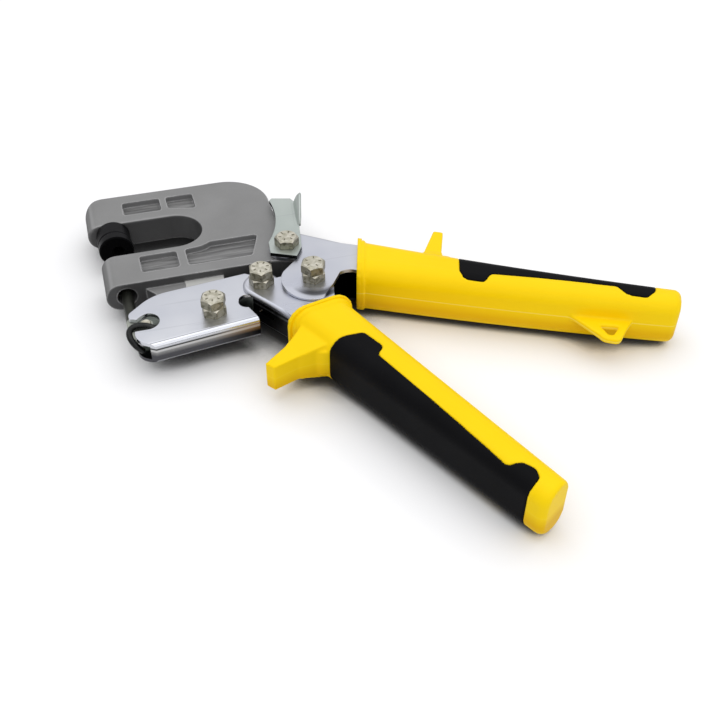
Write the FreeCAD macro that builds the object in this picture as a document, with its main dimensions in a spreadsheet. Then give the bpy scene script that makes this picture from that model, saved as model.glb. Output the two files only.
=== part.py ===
"""Hand-held stud crimper: a cast C-frame with die and punch, worked by two linked lever handles.

The tool lies flat. X runs from the jaw to the grips, Y in the direction in which the punch travels,
Z along the pivot bolts. The layout is drawn from the lever pivot, in the middle plane of the frame,
and is moved at the end so that the origin is the centre of the underside of its box.
"""
import FreeCAD, Part
import Sketcher
import math
import os

SIZES = (
    # pivots, from the lever pivot
    ("link_pivot_x", 24.0, "lever to lower handle, along X"),
    ("link_pivot_y", 12.5, "lever to lower handle, along Y"),
    ("frame_pivot_x", 41.0, "upper handle on the frame, along X"),
    ("frame_pivot_y", 34.0, "upper handle on the frame, along Y"),
    ("hand_pivot_x", 47.0, "lower handle on the upper handle, along X"),
    ("hand_pivot_y", 7.2, "lower handle on the upper handle, along Y"),
    # cast frame
    ("frame_thick", 14.0, "frame across its two faces"),
    ("upper_reach", 49.0, "lever pivot to the nose of the upper arm"),
    ("lower_reach", 45.0, "lever pivot to the nose of the lower arm"),
    ("arm_edge", 28.7, "lever pivot to the lower edge of the lower arm"),
    ("lower_arm", 24.4, "width of the lower arm"),
    ("throat_gap", 27.2, "width of the throat"),
    ("upper_arm", 25.6, "width of the upper arm"),
    ("throat_end", 5.4, "lever pivot to the end of the throat"),
    ("frame_back", 42.5, "lever pivot to the back of the frame"),
    ("back_corner", 22.0, "radius of the upper back corner"),
    ("front_corner", 10.6, "radius of the upper front corner"),
    ("frame_lug", 7.6, "radius of the lug round the frame pivot"),
    ("back_fall", 34.0, "upper edge down to where the back leans to the lug"),
    ("pocket_depth", 3.0, "depth of the weight-saving pockets"),
    ("pocket_corner", 1.5, "corner radius of the pockets"),
    ("frame_edge", 1.2, "rounding of the frame's outer edges"),
    ("tongue_thick", 5.4, "thickness of the tongue"),
    ("land_thick", 6.6, "thickness of the machined land on the tongue"),
    ("tongue_round", 9.0, "radius of the tongue's end"),
    ("tongue_front", 26.8, "lever pivot to the front root of the tongue"),
    # die and punch
    ("punch_reach", 35.6, "lever pivot to the punch axis"),
    ("punch_wide", 5.3, "diameter of the punch"),
    ("punch_set_back", 1.5, "punch tip below the throat's lower edge"),
    ("foot_reach", 30.0, "lever pivot to the cross pin"),
    ("pin_level", 1.2, "cross pin above the lever pivot"),
    ("pin_wide", 4.5, "diameter of the cross pin"),
    ("foot_thick", 6.4, "thickness of the punch foot"),
    ("foot_high", 4.6, "cross pin to the top of the foot"),
    ("foot_low", 3.0, "cross pin to the underside of the foot"),
    ("guide_wide", 9.0, "outer diameter of the guide bush"),
    ("guide_long", 17.0, "length of the guide bush"),
    ("die_wide", 14.4, "diameter of the die"),
    ("die_high", 14.2, "height of the die below the upper arm"),
    ("die_shank", 7.0, "diameter of the die's shank"),
    ("die_shank_long", 14.0, "length of the die's shank"),
    ("die_bore", 5.6, "diameter of the hole in the die"),
    ("die_bore_deep", 6.0, "depth of the hole in the die"),
    # sheet-metal channels
    ("lever_inside", 7.0, "gap between the lever's walls"),
    ("lever_sheet", 1.8, "sheet thickness of the lever"),
    ("lower_inside", 11.0, "gap between the lower handle's walls"),
    ("lower_sheet", 1.8, "sheet thickness of the lower handle"),
    ("upper_inside", 15.0, "gap between the upper handle's walls"),
    ("upper_sheet", 1.8, "sheet thickness of the upper handle"),
    ("bend_round", 1.6, "outer bend radius of the handles' channels"),
    ("lever_bend", 2.4, "outer bend radius of the lever"),
    ("lever_boss", 6.3, "radius of the lever round the link pivot"),
    ("lever_link_hole", 9.2, "hole in the lever for the link bolt"),
    ("lower_lobe", 8.6, "radius of the lower handle round the link pivot"),
    ("lower_web_lean", 60.0, "fall of the lower handle's web, degrees"),
    ("lower_web_start", 3.2, "where the lower web starts, from its tangent point"),
    ("hand_lobe", 14.7, "radius of the upper handle round the hand pivot"),
    ("hand_flat", 7.0, "hand pivot to the line where the lobe is coined down"),
    ("rim_drop", 1.0, "fall of the lobe's coined rim"),
    ("rim_turn", 17.0, "turn of the coined line from the X axis, degrees"),
    ("slot_start", 6.8, "start of the lower web to its slot"),
    ("slot_long", 9.6, "length of the slot in the lower web"),
    ("slot_high", 2.8, "height of the slot in the lower web"),
    ("frame_lobe", 8.5, "radius of the upper handle round the frame pivot"),
    ("tang_long", 40.0, "length of the handles inside the grips"),
    ("tang_ahead", 3.6, "how far the tang's outer edge starts ahead of its grip"),
    # latch
    ("latch_sheet", 1.8, "thickness of the latch"),
    ("latch_gap", 0.2, "running gap under the latch"),
    ("tab_high", 7.5, "height of the latch's finger tab"),
    # bolts
    ("bolt_wide", 6.0, "diameter of the pivot bolts"),
    ("bolt_flats", 10.0, "across the flats of heads, collars and nuts"),
    ("head_high", 4.5, "height of a bolt head"),
    ("collar_high", 4.5, "height of a hexagonal collar"),
    ("nut_high", 4.5, "height of a lock nut"),
    ("head_chamfer", 0.6, "chamfer on heads and nuts"),
    ("fit", 0.05, "clearance between a bolt or punch and its hole, on the radius"),
    # grips
    ("upper_grip_x", 71.5, "front of the upper grip's axis, along X"),
    ("upper_grip_y", 15.8, "front of the upper grip's axis, along Y"),
    ("upper_grip_fall", 29.0, "fall of the upper grip, degrees"),
    ("lower_grip_x", 43.4, "front of the lower grip's axis, along X"),
    ("lower_grip_y", -16.0, "front of the lower grip's axis, along Y"),
    ("lower_grip_fall", 65.8, "fall of the lower grip, degrees"),
    ("upper_long", 146.0, "length of the upper grip"),
    ("lower_long", 137.5, "length of the lower grip"),
    ("grip_wide", 27.0, "width of a grip at its collar"),
    ("grip_tail", 15.2, "width of a grip at its tail"),
    ("tail_shift", 1.0, "how far the tail's middle lies outward"),
    ("palm_bow", 1.5, "how far the upper grip's middle bows inward"),
    ("grip_thick", 26.5, "thickness of a grip at its collar"),
    ("tail_thick", 24.5, "thickness of a grip at its tail"),
    ("grip_round", 8.6, "corner radius of a grip at its collar"),
    ("tail_corner", 6.6, "corner radius of a grip at its tail"),
    ("flange_wide", 28.4, "width of the collar flange"),
    ("flange_thick", 28.0, "thickness of the collar flange"),
    ("flange_long", 3.5, "length of the collar flange"),
    ("flange_round", 8.6, "corner radius of the collar flange"),
    ("flange_lean", 0.2, "how much the flange leans forward for each step outward"),
    ("upper_flange", -1.2, "front of the upper flange on its grip's axis"),
    ("lower_flange", 0.3, "front of the lower flange on its grip's axis"),
    ("tail_round", 3.6, "rounding of the tails' ends"),
    ("insert_thick", 1.6, "thickness of the soft inserts"),
    ("insert_corner", 2.6, "corner radius of the inserts"),
    ("fin_thick", 16.0, "thickness of the thumb fin"),
    ("fin_reach", 32.6, "upper grip's axis to the tip of the thumb fin"),
    ("guard_thick", 13.0, "thickness of the finger guard"),
    ("guard_reach", 37.0, "lower grip's axis to the tip of the finger guard"),
    ("loop_thick", 2.8, "thickness of the hanging loop"),
    # return spring
    ("wire_wide", 1.8, "diameter of the spring wire"),
)

doc = FreeCAD.newDocument("stud_crimper")
sheet = doc.addObject("Spreadsheet::Sheet", "sizes")
for row, (alias, value, note) in enumerate(SIZES, start=1):
    sheet.set("A%d" % row, note)
    sheet.set("B%d" % row, str(value))
    sheet.setAlias("B%d" % row, alias)
doc.recompute()


class Size:
    """A number of the layout, with the sheet expression that it follows."""

    def __init__(self, value, text):
        self.value = value
        self.text = text

    def __add__(self, other):
        other = as_size(other)
        return Size(self.value + other.value, "(%s + %s)" % (self.text, other.text))

    def __sub__(self, other):
        other = as_size(other)
        return Size(self.value - other.value, "(%s - %s)" % (self.text, other.text))

    def __mul__(self, other):
        other = as_size(other)
        return Size(self.value * other.value, "(%s * %s)" % (self.text, other.text))

    def __truediv__(self, other):
        other = as_size(other)
        return Size(self.value / other.value, "(%s / %s)" % (self.text, other.text))

    def __radd__(self, other):
        return as_size(other) + self

    def __rsub__(self, other):
        return as_size(other) - self

    def __rmul__(self, other):
        return as_size(other) * self

    def __neg__(self):
        return 0 - self


def as_size(number):
    """A plain number as a Size; a Size stays as it is."""
    if isinstance(number, Size):
        return number
    return Size(float(number), "(%r)" % float(number))


def cosine(angle):
    """Cosine of an angle in degrees."""
    angle = as_size(angle)
    return Size(math.cos(math.radians(angle.value)), "cos(%s)" % angle.text)


def sine(angle):
    """Sine of an angle in degrees."""
    angle = as_size(angle)
    return Size(math.sin(math.radians(angle.value)), "sin(%s)" % angle.text)


class Sizes:
    """The sheet's values, read back by name."""

    def __getattr__(self, alias):
        return Size(float(getattr(sheet, alias)), "sizes.%s" % alias)


S = Sizes()


def shifted(point, across, up):
    """A point moved along X and Y."""
    return (point[0] + across, point[1] + up)


def polar(centre, radius, angle):
    """The point at a radius and an angle (degrees) from a centre."""
    return shifted(centre, radius * cosine(angle), radius * sine(angle))


LEVER_PIVOT = (as_size(0), as_size(0))
LINK_PIVOT = (S.link_pivot_x, S.link_pivot_y)
FRAME_PIVOT = (S.frame_pivot_x, S.frame_pivot_y)
HAND_PIVOT = (S.hand_pivot_x, S.hand_pivot_y)

# levels of the stacked sheets above the middle plane
LEVER_FACE = S.lever_inside / 2 + S.lever_sheet
LOWER_FACE = S.lower_inside / 2 + S.lower_sheet
UPPER_FACE = S.upper_inside / 2 + S.upper_sheet
LATCH_FLOOR = UPPER_FACE + S.latch_gap
LATCH_FACE = LATCH_FLOOR + S.latch_sheet

# levels along Y
THROAT_LOW = S.arm_edge + S.lower_arm
THROAT_HIGH = THROAT_LOW + S.throat_gap
FRAME_TOP = THROAT_HIGH + S.upper_arm


# ---------------------------------------------------------------- drawing helpers

def bind(thing, property_name, number):
    """Ties a property to a sheet expression."""
    thing.setExpression(property_name, as_size(number).text)


def new_body(name):
    """A body of the document, labelled with its node's name."""
    body = doc.addObject("PartDesign::Body", name)
    body.Label = name
    return body


def new_sketch(body, name, plane="XY_Plane", offset=0):
    """A sketch on one of the body's own origin planes, moved along the plane's normal."""
    sketch = body.newObject("Sketcher::SketchObject", name)
    datum = [item for item in body.Origin.OriginFeatures if item.Role == plane][0]
    sketch.AttachmentSupport = [(datum, "")]
    sketch.MapMode = "FlatFace"
    bind(sketch, "AttachmentOffset.Base.z", offset)
    return sketch


def constrain(sketch, kind, place, number):
    """Adds one driving dimension and ties it to the sheet."""
    number = as_size(number)
    index = sketch.addConstraint(Sketcher.Constraint(kind, *place, number.value))
    if "sizes." in number.text:
        sketch.setExpression("Constraints[%d]" % index, number.text)


def arc_middle(start, end, bend):
    """The middle of the arc from start to end; a positive bend turns left."""
    chord = end - start
    half = chord.Length / 2
    radius = abs(bend)
    sagitta = radius - math.sqrt(max(radius * radius - half * half, 0))
    left = FreeCAD.Vector(-chord.y, chord.x, 0).normalize()
    side = -1 if bend > 0 else 1
    return (start + end) * 0.5 + left * (side * sagitta)


def draw(sketch, outline):
    """Draws a closed outline of corners (x, y) or (x, y, bend).

    A corner's bend is the radius of the arc to the next corner, positive for a left turn.
    """
    corners = []
    for corner in outline:
        bend = as_size(corner[2]) if len(corner) > 2 else None
        corners.append((as_size(corner[0]), as_size(corner[1]), bend))
    pieces = []
    for number, (x, y, bend) in enumerate(corners):
        following = corners[(number + 1) % len(corners)]
        start = FreeCAD.Vector(x.value, y.value, 0)
        end = FreeCAD.Vector(following[0].value, following[1].value, 0)
        if bend is None:
            curve = Part.LineSegment(start, end)
        else:
            curve = Part.Arc(start, arc_middle(start, end, bend.value), end)
        piece = sketch.addGeometry(curve, False)
        head = 1 if sketch.getPoint(piece, 1).distanceToPoint(start) < 1e-6 else 2
        constrain(sketch, "DistanceX", (-1, 1, piece, head), x)
        constrain(sketch, "DistanceY", (-1, 1, piece, head), y)
        if bend is not None:
            constrain(sketch, "Radius", (piece,), bend if bend.value > 0 else -bend)
        pieces.append((piece, head))
    for number, (piece, head) in enumerate(pieces):
        following, following_head = pieces[(number + 1) % len(pieces)]
        sketch.addConstraint(
            Sketcher.Constraint("Coincident", piece, 3 - head, following, following_head))


def draw_circle(sketch, centre, radius):
    """Draws a circle."""
    x = as_size(centre[0])
    y = as_size(centre[1])
    radius = as_size(radius)
    circle = Part.Circle(FreeCAD.Vector(x.value, y.value, 0), FreeCAD.Vector(0, 0, 1), radius.value)
    piece = sketch.addGeometry(circle, False)
    constrain(sketch, "DistanceX", (-1, 1, piece, 3), x)
    constrain(sketch, "DistanceY", (-1, 1, piece, 3), y)
    constrain(sketch, "Radius", (piece,), radius)


def rounded_rectangle(wide, high, corner, middle=0):
    """Corners of a rounded rectangle about (middle, 0)."""
    right = middle + as_size(wide) / 2
    left = middle - as_size(wide) / 2
    top = as_size(high) / 2
    return [
        (left + corner, -top), (right - corner, -top, corner),
        (right, -top + corner), (right, top - corner, corner),
        (right - corner, top), (left + corner, top, corner),
        (left, top - corner), (left, -top + corner, corner),
    ]


def hexagon(centre, flats, turn):
    """Corners of a hexagon; turn is the angle of its first corner."""
    radius = flats / (2 * math.cos(math.radians(30)))
    return [polar(centre, radius, turn + 60 * corner) for corner in range(6)]


def pad(body, sketch, length, both_ways=False):
    """Pads a sketch along its normal, or half to each side of it."""
    feature = body.newObject("PartDesign::Pad", sketch.Name + "_pad")
    feature.Profile = sketch
    bind(feature, "Length", length)
    feature.Midplane = both_ways
    return feature


def pocket(body, sketch, length=None, both_ways=False, reverse=False):
    """Cuts a sketch into the body: against its normal, to both sides, or right through."""
    feature = body.newObject("PartDesign::Pocket", sketch.Name + "_pocket")
    feature.Profile = sketch
    feature.Midplane = both_ways
    feature.Reversed = reverse
    if length is None:
        feature.Type = "ThroughAll"
    else:
        bind(feature, "Length", length)
    return feature


def slab(body, name, outline, thickness):
    """Pads an outline evenly about the middle plane."""
    sketch = new_sketch(body, name)
    draw(sketch, outline)
    return pad(body, sketch, thickness, both_ways=True)


def layer(body, name, outline, floor, top):
    """Pads an outline between two levels."""
    sketch = new_sketch(body, name, offset=floor)
    draw(sketch, outline)
    return pad(body, sketch, as_size(top) - floor)


def disc(body, name, centre, radius, floor, top):
    """Pads a circle between two levels."""
    sketch = new_sketch(body, name, offset=floor)
    draw_circle(sketch, centre, radius)
    return pad(body, sketch, as_size(top) - floor)


def window(body, name, outline, thickness=None):
    """Cuts an outline out about the middle plane, right through if no thickness is given."""
    sketch = new_sketch(body, name)
    draw(sketch, outline)
    return pocket(body, sketch, thickness, both_ways=True)


def bore(body, name, centre, diameter):
    """Bores a hole along Z right through."""
    sketch = new_sketch(body, name)
    draw_circle(sketch, centre, diameter / 2)
    return pocket(body, sketch, both_ways=True)


def rod_along_y(body, name, reach, diameter, low, high):
    """Pads a circle along Y between two levels; reach is its distance in front of the pivot."""
    sketch = new_sketch(body, name, "XZ_Plane", -as_size(high))
    draw_circle(sketch, (-reach, 0), diameter / 2)
    return pad(body, sketch, as_size(high) - low)


def bore_along_y(body, name, reach, diameter, low, high):
    """Bores a hole along Y between two levels."""
    sketch = new_sketch(body, name, "XZ_Plane", -as_size(low))
    draw_circle(sketch, (-reach, 0), diameter / 2)
    return pocket(body, sketch, as_size(high) - low)


def chosen_edges(body, test):
    """The body's tip and the names of its edges that pass a test."""
    doc.recompute()
    tip = body.Tip
    names = []
    for number, edge in enumerate(tip.Shape.Edges, start=1):
        if test(edge):
            names.append("Edge%d" % number)
    return tip, names


def round_edges(body, name, radius, test):
    """Rounds the edges of the body that pass a test."""
    chosen = chosen_edges(body, test)
    feature = body.newObject("PartDesign::Fillet", name)
    feature.Base = chosen
    bind(feature, "Radius", radius)
    return feature


def bevel_edges(body, name, width, test):
    """Chamfers the edges of the body that pass a test."""
    chosen = chosen_edges(body, test)
    feature = body.newObject("PartDesign::Chamfer", name)
    feature.Base = chosen
    bind(feature, "Size", width)
    return feature


NEAR = 0.01


def upright_at(points):
    """A test for edges along Z that stand at one of the points."""
    places = [(as_size(x).value, as_size(y).value) for x, y in points]

    def test(edge):
        ends = [vertex.Point for vertex in edge.Vertexes]
        if len(ends) != 2 or math.hypot(ends[0].x - ends[1].x, ends[0].y - ends[1].y) > NEAR:
            return False
        return any(math.hypot(ends[0].x - x, ends[0].y - y) < NEAR for x, y in places)

    return test


def along_line(start, end, level):
    """A test for edges that lie on a line of the plan, at a level above or below the middle."""
    first = FreeCAD.Vector(as_size(start[0]).value, as_size(start[1]).value, 0)
    last = FreeCAD.Vector(as_size(end[0]).value, as_size(end[1]).value, 0)
    direction = (last - first).normalize()
    level = as_size(level).value

    def test(edge):
        ends = [vertex.Point for vertex in edge.Vertexes]
        if len(ends) != 2 or abs(ends[0].z - ends[1].z) > NEAR:
            return False
        for point in ends:
            flat = FreeCAD.Vector(point.x, point.y, 0) - first
            if abs(flat.cross(direction).z) > NEAR or abs(abs(point.z) - level) > NEAR:
                return False
        return True

    return test


def at_level(level):
    """A test for edges that lie in a plane at a level."""
    level = as_size(level).value
    return lambda edge: all(abs(vertex.Point.z - level) < NEAR for vertex in edge.Vertexes)


# ---------------------------------------------------------------- cast frame

def c_frame():
    """C-shaped casting with half-round noses, pockets, a pivot lug and a tongue for the lever."""
    body = new_body("c_frame")
    throat_round = S.throat_gap / 2
    throat_centre = (S.throat_end - throat_round, THROAT_LOW + throat_round)
    lug_low = polar(FRAME_PIVOT, S.frame_lug, -125)
    lug_side = polar(FRAME_PIVOT, S.frame_lug, -50)
    lug_high = polar(FRAME_PIVOT, S.frame_lug, 48)
    # the front corner's arc stops a little short of the nose's tangent, so that the two rounds cross
    corner_stop = 11
    corner_centre = (S.front_corner * cosine(corner_stop) - S.upper_reach, FRAME_TOP - S.front_corner)
    slab(body, "frame_outline", [
        (-S.lower_reach, S.arm_edge),
        (lug_low[0] - 5, S.arm_edge),
        (*lug_low, S.frame_lug),
        (*lug_side, S.frame_lug),
        lug_high,
        (S.frame_back, FRAME_TOP - S.back_fall),
        (S.frame_back, FRAME_TOP - S.back_corner, S.back_corner),
        (S.frame_back - S.back_corner, FRAME_TOP),
        (corner_centre[0], FRAME_TOP, S.front_corner),
        polar(corner_centre, S.front_corner, 180 - corner_stop),
        (-S.upper_reach, THROAT_HIGH),
        (throat_centre[0], THROAT_HIGH, -throat_round),
        (S.throat_end, throat_centre[1], -throat_round),
        (throat_centre[0], THROAT_LOW),
        (-S.lower_reach, THROAT_LOW),
    ], S.frame_thick)

    # the noses are half-round about axes along Y: what lies outside those rounds is cut away
    face = S.frame_thick / 2
    clear = face + 2
    for name, reach, downward in (("upper", S.upper_reach, False), ("lower", S.lower_reach, True)):
        nose = new_sketch(body, name + "_nose_cut", "XZ_Plane", -throat_centre[1])
        tangent = face - reach
        draw(nose, [
            (tangent, face, face),
            (-reach, 0, face),
            (tangent, -face),
            (tangent, -clear),
            (-reach - 2, -clear),
            (-reach - 2, clear),
            (tangent, clear),
        ])
        pocket(body, nose, FRAME_TOP, reverse=downward)

    def outer_edge(edge):
        """Edges of the two faces on the outline behind the noses."""
        if any(abs(abs(vertex.Point.z) - face.value) > NEAR for vertex in edge.Vertexes):
            return False
        return all(vertex.Point.x > tangent.value + NEAR for vertex in edge.Vertexes)

    round_edges(body, "frame_edges", S.frame_edge, outer_edge)

    # pockets in both faces, with ribs between them
    throat_rib = 6.2
    pockets = new_sketch(body, "pockets", offset=face)
    upper_low = THROAT_HIGH + throat_rib
    upper_high = FRAME_TOP - 8
    draw(pockets, [(-30, upper_low), (-11.4, upper_low), (-11.4, upper_high), (-30, upper_high)])
    draw(pockets, [
        (-8, upper_low + 1),
        (5.5, upper_low - 2.6),
        (5.5, upper_high),
        (-8, upper_high),
    ])
    lower_low = S.arm_edge + 7.2
    lower_high = THROAT_LOW - 4.2
    draw(pockets, [(-27, lower_low), (-9.6, lower_low), (-9.6, lower_high), (-27, lower_high)])
    draw(pockets, [
        (-5.4, lower_low),
        (24.6, lower_low),
        (28.7, THROAT_LOW - 5.7),
        (30.2, THROAT_LOW - 0.7),
        (7.0, THROAT_LOW - 0.7, -12),
        (-0.6, THROAT_LOW - 3.6),
        (-5.4, lower_high),
    ])
    recess = pocket(body, pockets, S.pocket_depth)
    doc.recompute()

    def pocket_corner(edge):
        """Upright edges of the pockets' walls."""
        ends = [vertex.Point for vertex in edge.Vertexes]
        if len(ends) != 2 or math.hypot(ends[0].x - ends[1].x, ends[0].y - ends[1].y) > NEAR:
            return False
        levels = sorted(point.z for point in ends)
        floor = face.value - S.pocket_depth.value
        return abs(levels[0] - floor) < NEAR and abs(levels[1] - face.value) < NEAR

    corners = round_edges(body, "pocket_corners", S.pocket_corner, pocket_corner)
    doc.recompute()
    mirrored = body.newObject("PartDesign::Mirrored", "pockets_mirrored")
    mirrored.Originals = [recess]
    mirrored.MirrorPlane = (
        [item for item in body.Origin.OriginFeatures if item.Role == "XY_Plane"][0], [""])
    body.Tip = mirrored

    # tongue and machined land below the lower arm, carrying the lever pivot
    root = S.arm_edge + 2
    end_left = polar(LEVER_PIVOT, S.tongue_round, 215)
    slab(body, "tongue", [
        (-S.tongue_front, root),
        (-S.tongue_front, S.arm_edge),
        (3.1 - S.tongue_front, S.arm_edge - 4.1),
        (*end_left, S.tongue_round),
        (*polar(LEVER_PIVOT, S.tongue_round, -70), S.tongue_round),
        (S.tongue_round, 0),
        (S.tongue_round, root),
    ], S.tongue_thick)
    slab(body, "land", [
        (-S.tongue_round, root),
        (-S.tongue_round, 0, S.tongue_round),
        (0, -S.tongue_round, S.tongue_round),
        (S.tongue_round, 0),
        (S.tongue_round, root),
    ], S.land_thick)
    bolt_hole = S.bolt_wide + 2 * S.fit
    bore(body, "lever_pivot_bore", LEVER_PIVOT, bolt_hole)
    bore(body, "frame_pivot_bore", FRAME_PIVOT, bolt_hole)
    bore_along_y(body, "guide_bore", S.punch_reach, S.guide_wide, S.arm_edge, THROAT_LOW)
    bore_along_y(body, "die_seat", S.punch_reach, S.die_shank, THROAT_HIGH,
                 THROAT_HIGH + S.die_shank_long)
    return body


# ---------------------------------------------------------------- die and punch

PUNCH_TIP = THROAT_LOW - S.punch_set_back


def die_button():
    """Black round die with its shank in the upper arm and a hole in its face."""
    body = new_body("die_button")
    rod_along_y(body, "die_head", S.punch_reach, S.die_wide, THROAT_HIGH - S.die_high, THROAT_HIGH)
    rod_along_y(body, "die_stem", S.punch_reach, S.die_shank, THROAT_HIGH,
                THROAT_HIGH + S.die_shank_long)
    bore_along_y(body, "die_hole", S.punch_reach, S.die_bore, THROAT_HIGH - S.die_high,
                 THROAT_HIGH - S.die_high + S.die_bore_deep)
    level = (THROAT_HIGH - S.die_high).value

    def face_edge(edge):
        return all(abs(vertex.Point.y - level) < NEAR for vertex in edge.Vertexes)

    bevel_edges(body, "die_bevel", 0.5, face_edge)
    return body


def punch_guide():
    """Guide bush pressed into the lower arm."""
    body = new_body("punch_guide")
    low = THROAT_LOW - S.guide_long
    rod_along_y(body, "bush", S.punch_reach, S.guide_wide, low, THROAT_LOW)
    bore_along_y(body, "bush_bore", S.punch_reach, S.punch_wide + 2 * S.fit, low, THROAT_LOW)
    return body


def punch_rod():
    """Punch with a flat foot between the lever's walls, drilled for the cross pin."""
    body = new_body("punch_rod")
    foot_top = S.pin_level + S.foot_high
    rod_along_y(body, "rod", S.punch_reach, S.punch_wide, foot_top - 2, PUNCH_TIP)
    heel = S.foot_reach - S.foot_low
    toe = S.punch_reach + S.punch_wide / 2 - 0.4
    slab(body, "foot", [
        (-toe, S.pin_level - S.foot_low + 2),
        (2 - toe, S.pin_level - S.foot_low),
        (-S.foot_reach, S.pin_level - S.foot_low, S.foot_low),
        (-heel, S.pin_level),
        (-heel, foot_top - 2),
        (-heel - 2, foot_top),
        (-toe, foot_top),
    ], S.foot_thick)
    bore(body, "pin_hole", (-S.foot_reach, S.pin_level), S.pin_wide + 2 * S.fit)

    def tip_edge(edge):
        return all(abs(vertex.Point.y - PUNCH_TIP.value) < NEAR for vertex in edge.Vertexes)

    bevel_edges(body, "tip_bevel", 0.6, tip_edge)
    return body


def punch_pin():
    """Cross pin that rides in the lever's notch."""
    body = new_body("punch_pin")
    disc(body, "pin", (-S.foot_reach, S.pin_level), S.pin_wide / 2, -LEVER_FACE, LEVER_FACE)
    bevel_edges(body, "pin_bevel", 0.4, lambda edge: edge.Length > S.pin_wide.value * 3)
    return body


# ---------------------------------------------------------------- channels

def grip_point(grip, forward, outward):
    """A point given along a grip's axis and outward from it, in the layout."""
    x, y, fall, side = grip[:4]
    turned = -fall
    reach = (forward * cosine(turned), forward * sine(turned))
    spread = (-side * outward * sine(turned), side * outward * cosine(turned))
    return (x + reach[0] + spread[0], y + reach[1] + spread[1])


UPPER_GRIP = (S.upper_grip_x, S.upper_grip_y, S.upper_grip_fall, 1, S.upper_long, S.palm_bow)
LOWER_GRIP = (S.lower_grip_x, S.lower_grip_y, S.lower_grip_fall, -1, S.lower_long, as_size(0))
UPPER_TANG = (9.0, 10.4)
LOWER_TANG = (9.4, 10.2)
FAR = 40


def lever_channel():
    """Pressed lever: two walls joined by a web, with an open notch for the punch pin."""
    body = new_body("lever_channel")
    web_front = (as_size(-27.9), as_size(-15.4))
    web_back = (as_size(18.3), as_size(-9.6))
    boss_top = polar(LINK_PIVOT, S.lever_boss, 65)
    boss_side = polar(LINK_PIVOT, S.lever_boss, -20)
    boss_low = polar(LINK_PIVOT, S.lever_boss, 219)
    slab(body, "lever_outline", [
        web_back,
        (15.2, -0.7, -4),
        (11.8, 4.9, -4),
        (15.2, 8.6),
        (boss_low[0], boss_low[1], S.lever_boss),
        (boss_side[0], boss_side[1], S.lever_boss),
        boss_top,
        (18.4, 24.4),
        (-17.3, 20.4, 22),
        (-30.6, 14.4),
        (-36.0, 9.4, 4),
        (-36.4, 5.2),
        (-33.6, 4.0, -9),
        (-28.6, 7.2, -5.6),
        (-23.9, 1.6, -5.7),
        (-29.0, -4.1),
        (-35.2, -4.1, 8),
        (-32.1, -12.7),
        web_front,
    ], S.lever_inside + 2 * S.lever_sheet)
    lean = math.atan2(web_back[1].value - web_front[1].value, web_back[0].value - web_front[0].value)
    rise = S.lever_sheet / math.cos(lean)
    slope = math.tan(lean)
    window(body, "lever_inner", [
        (-27.9 - FAR, -15.4 - FAR * slope + rise),
        (18.3 + FAR, -9.6 + FAR * slope + rise),
        (18.3 + FAR, FAR),
        (-27.9 - FAR, FAR),
    ], S.lever_inside)
    round_edges(body, "lever_bends", S.lever_bend, along_line(web_front, web_back, LEVER_FACE))
    bore(body, "lever_bore", LEVER_PIVOT, S.bolt_wide + 2 * S.fit)
    bore(body, "link_hole", LINK_PIVOT, S.lever_link_hole)
    return body


def lower_channel():
    """Lower handle's channel: walls outside the lever, web on the outer side, tang in the grip."""
    body = new_body("lower_channel")
    near, far = LOWER_TANG
    web_start = polar(LINK_PIVOT, S.lower_lobe, -S.lower_web_lean - 90)
    web_end = grip_point(LOWER_GRIP, -S.tang_ahead, far)
    hand_round = 9.0
    slab(body, "lower_outline", [
        web_start,
        web_end,
        grip_point(LOWER_GRIP, S.tang_long, far),
        grip_point(LOWER_GRIP, S.tang_long, -near),
        grip_point(LOWER_GRIP, 0, -near),
        (*polar(HAND_PIVOT, hand_round, -15), hand_round),
        (*polar(HAND_PIVOT, hand_round, 100),),
        (*polar(LINK_PIVOT, S.lower_lobe, 15), S.lower_lobe),
        (*polar(LINK_PIVOT, S.lower_lobe, 110), S.lower_lobe),
    ], S.lower_inside + 2 * S.lower_sheet)
    inner_start = polar(LINK_PIVOT, S.lower_lobe - S.lower_sheet, -S.lower_web_lean - 90)
    window(body, "lower_inner", [
        polar(inner_start, S.lower_web_start, -S.lower_web_lean),
        grip_point(LOWER_GRIP, -S.tang_ahead, far - S.lower_sheet),
        grip_point(LOWER_GRIP, S.tang_long + 5, far - S.lower_sheet),
        grip_point(LOWER_GRIP, S.tang_long + 5, -FAR),
        shifted(HAND_PIVOT, FAR, FAR),
        shifted(LINK_PIVOT, -FAR, FAR),
        polar(polar(web_start, S.lower_web_start, -S.lower_web_lean), 8, -S.lower_web_lean - 90),
    ], S.lower_inside)
    round_edges(body, "lower_bends", S.bend_round, along_line(web_start, web_end, LOWER_FACE))
    slot_start = polar(web_start, S.slot_start, -S.lower_web_lean)
    slot_end = polar(slot_start, S.slot_long, -S.lower_web_lean)
    outward = -S.lower_web_lean - 90
    window(body, "web_slot", [
        polar(slot_start, 2, outward), polar(slot_end, 2, outward),
        polar(slot_end, -2.5, outward), polar(slot_start, -2.5, outward),
    ], S.slot_high)
    half_high = S.slot_high.value / 2
    sheet = S.lower_sheet.value
    round_edges(body, "slot_ends", S.slot_high * 0.48, lambda edge: abs(edge.Length - sheet) < 0.2 and all(
        abs(abs(vertex.Point.z) - half_high) < NEAR for vertex in edge.Vertexes))
    bore(body, "link_bore", LINK_PIVOT, S.bolt_wide + 2 * S.fit)
    bore(body, "hand_bore", HAND_PIVOT, S.bolt_wide + 2 * S.fit)
    return body


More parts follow.
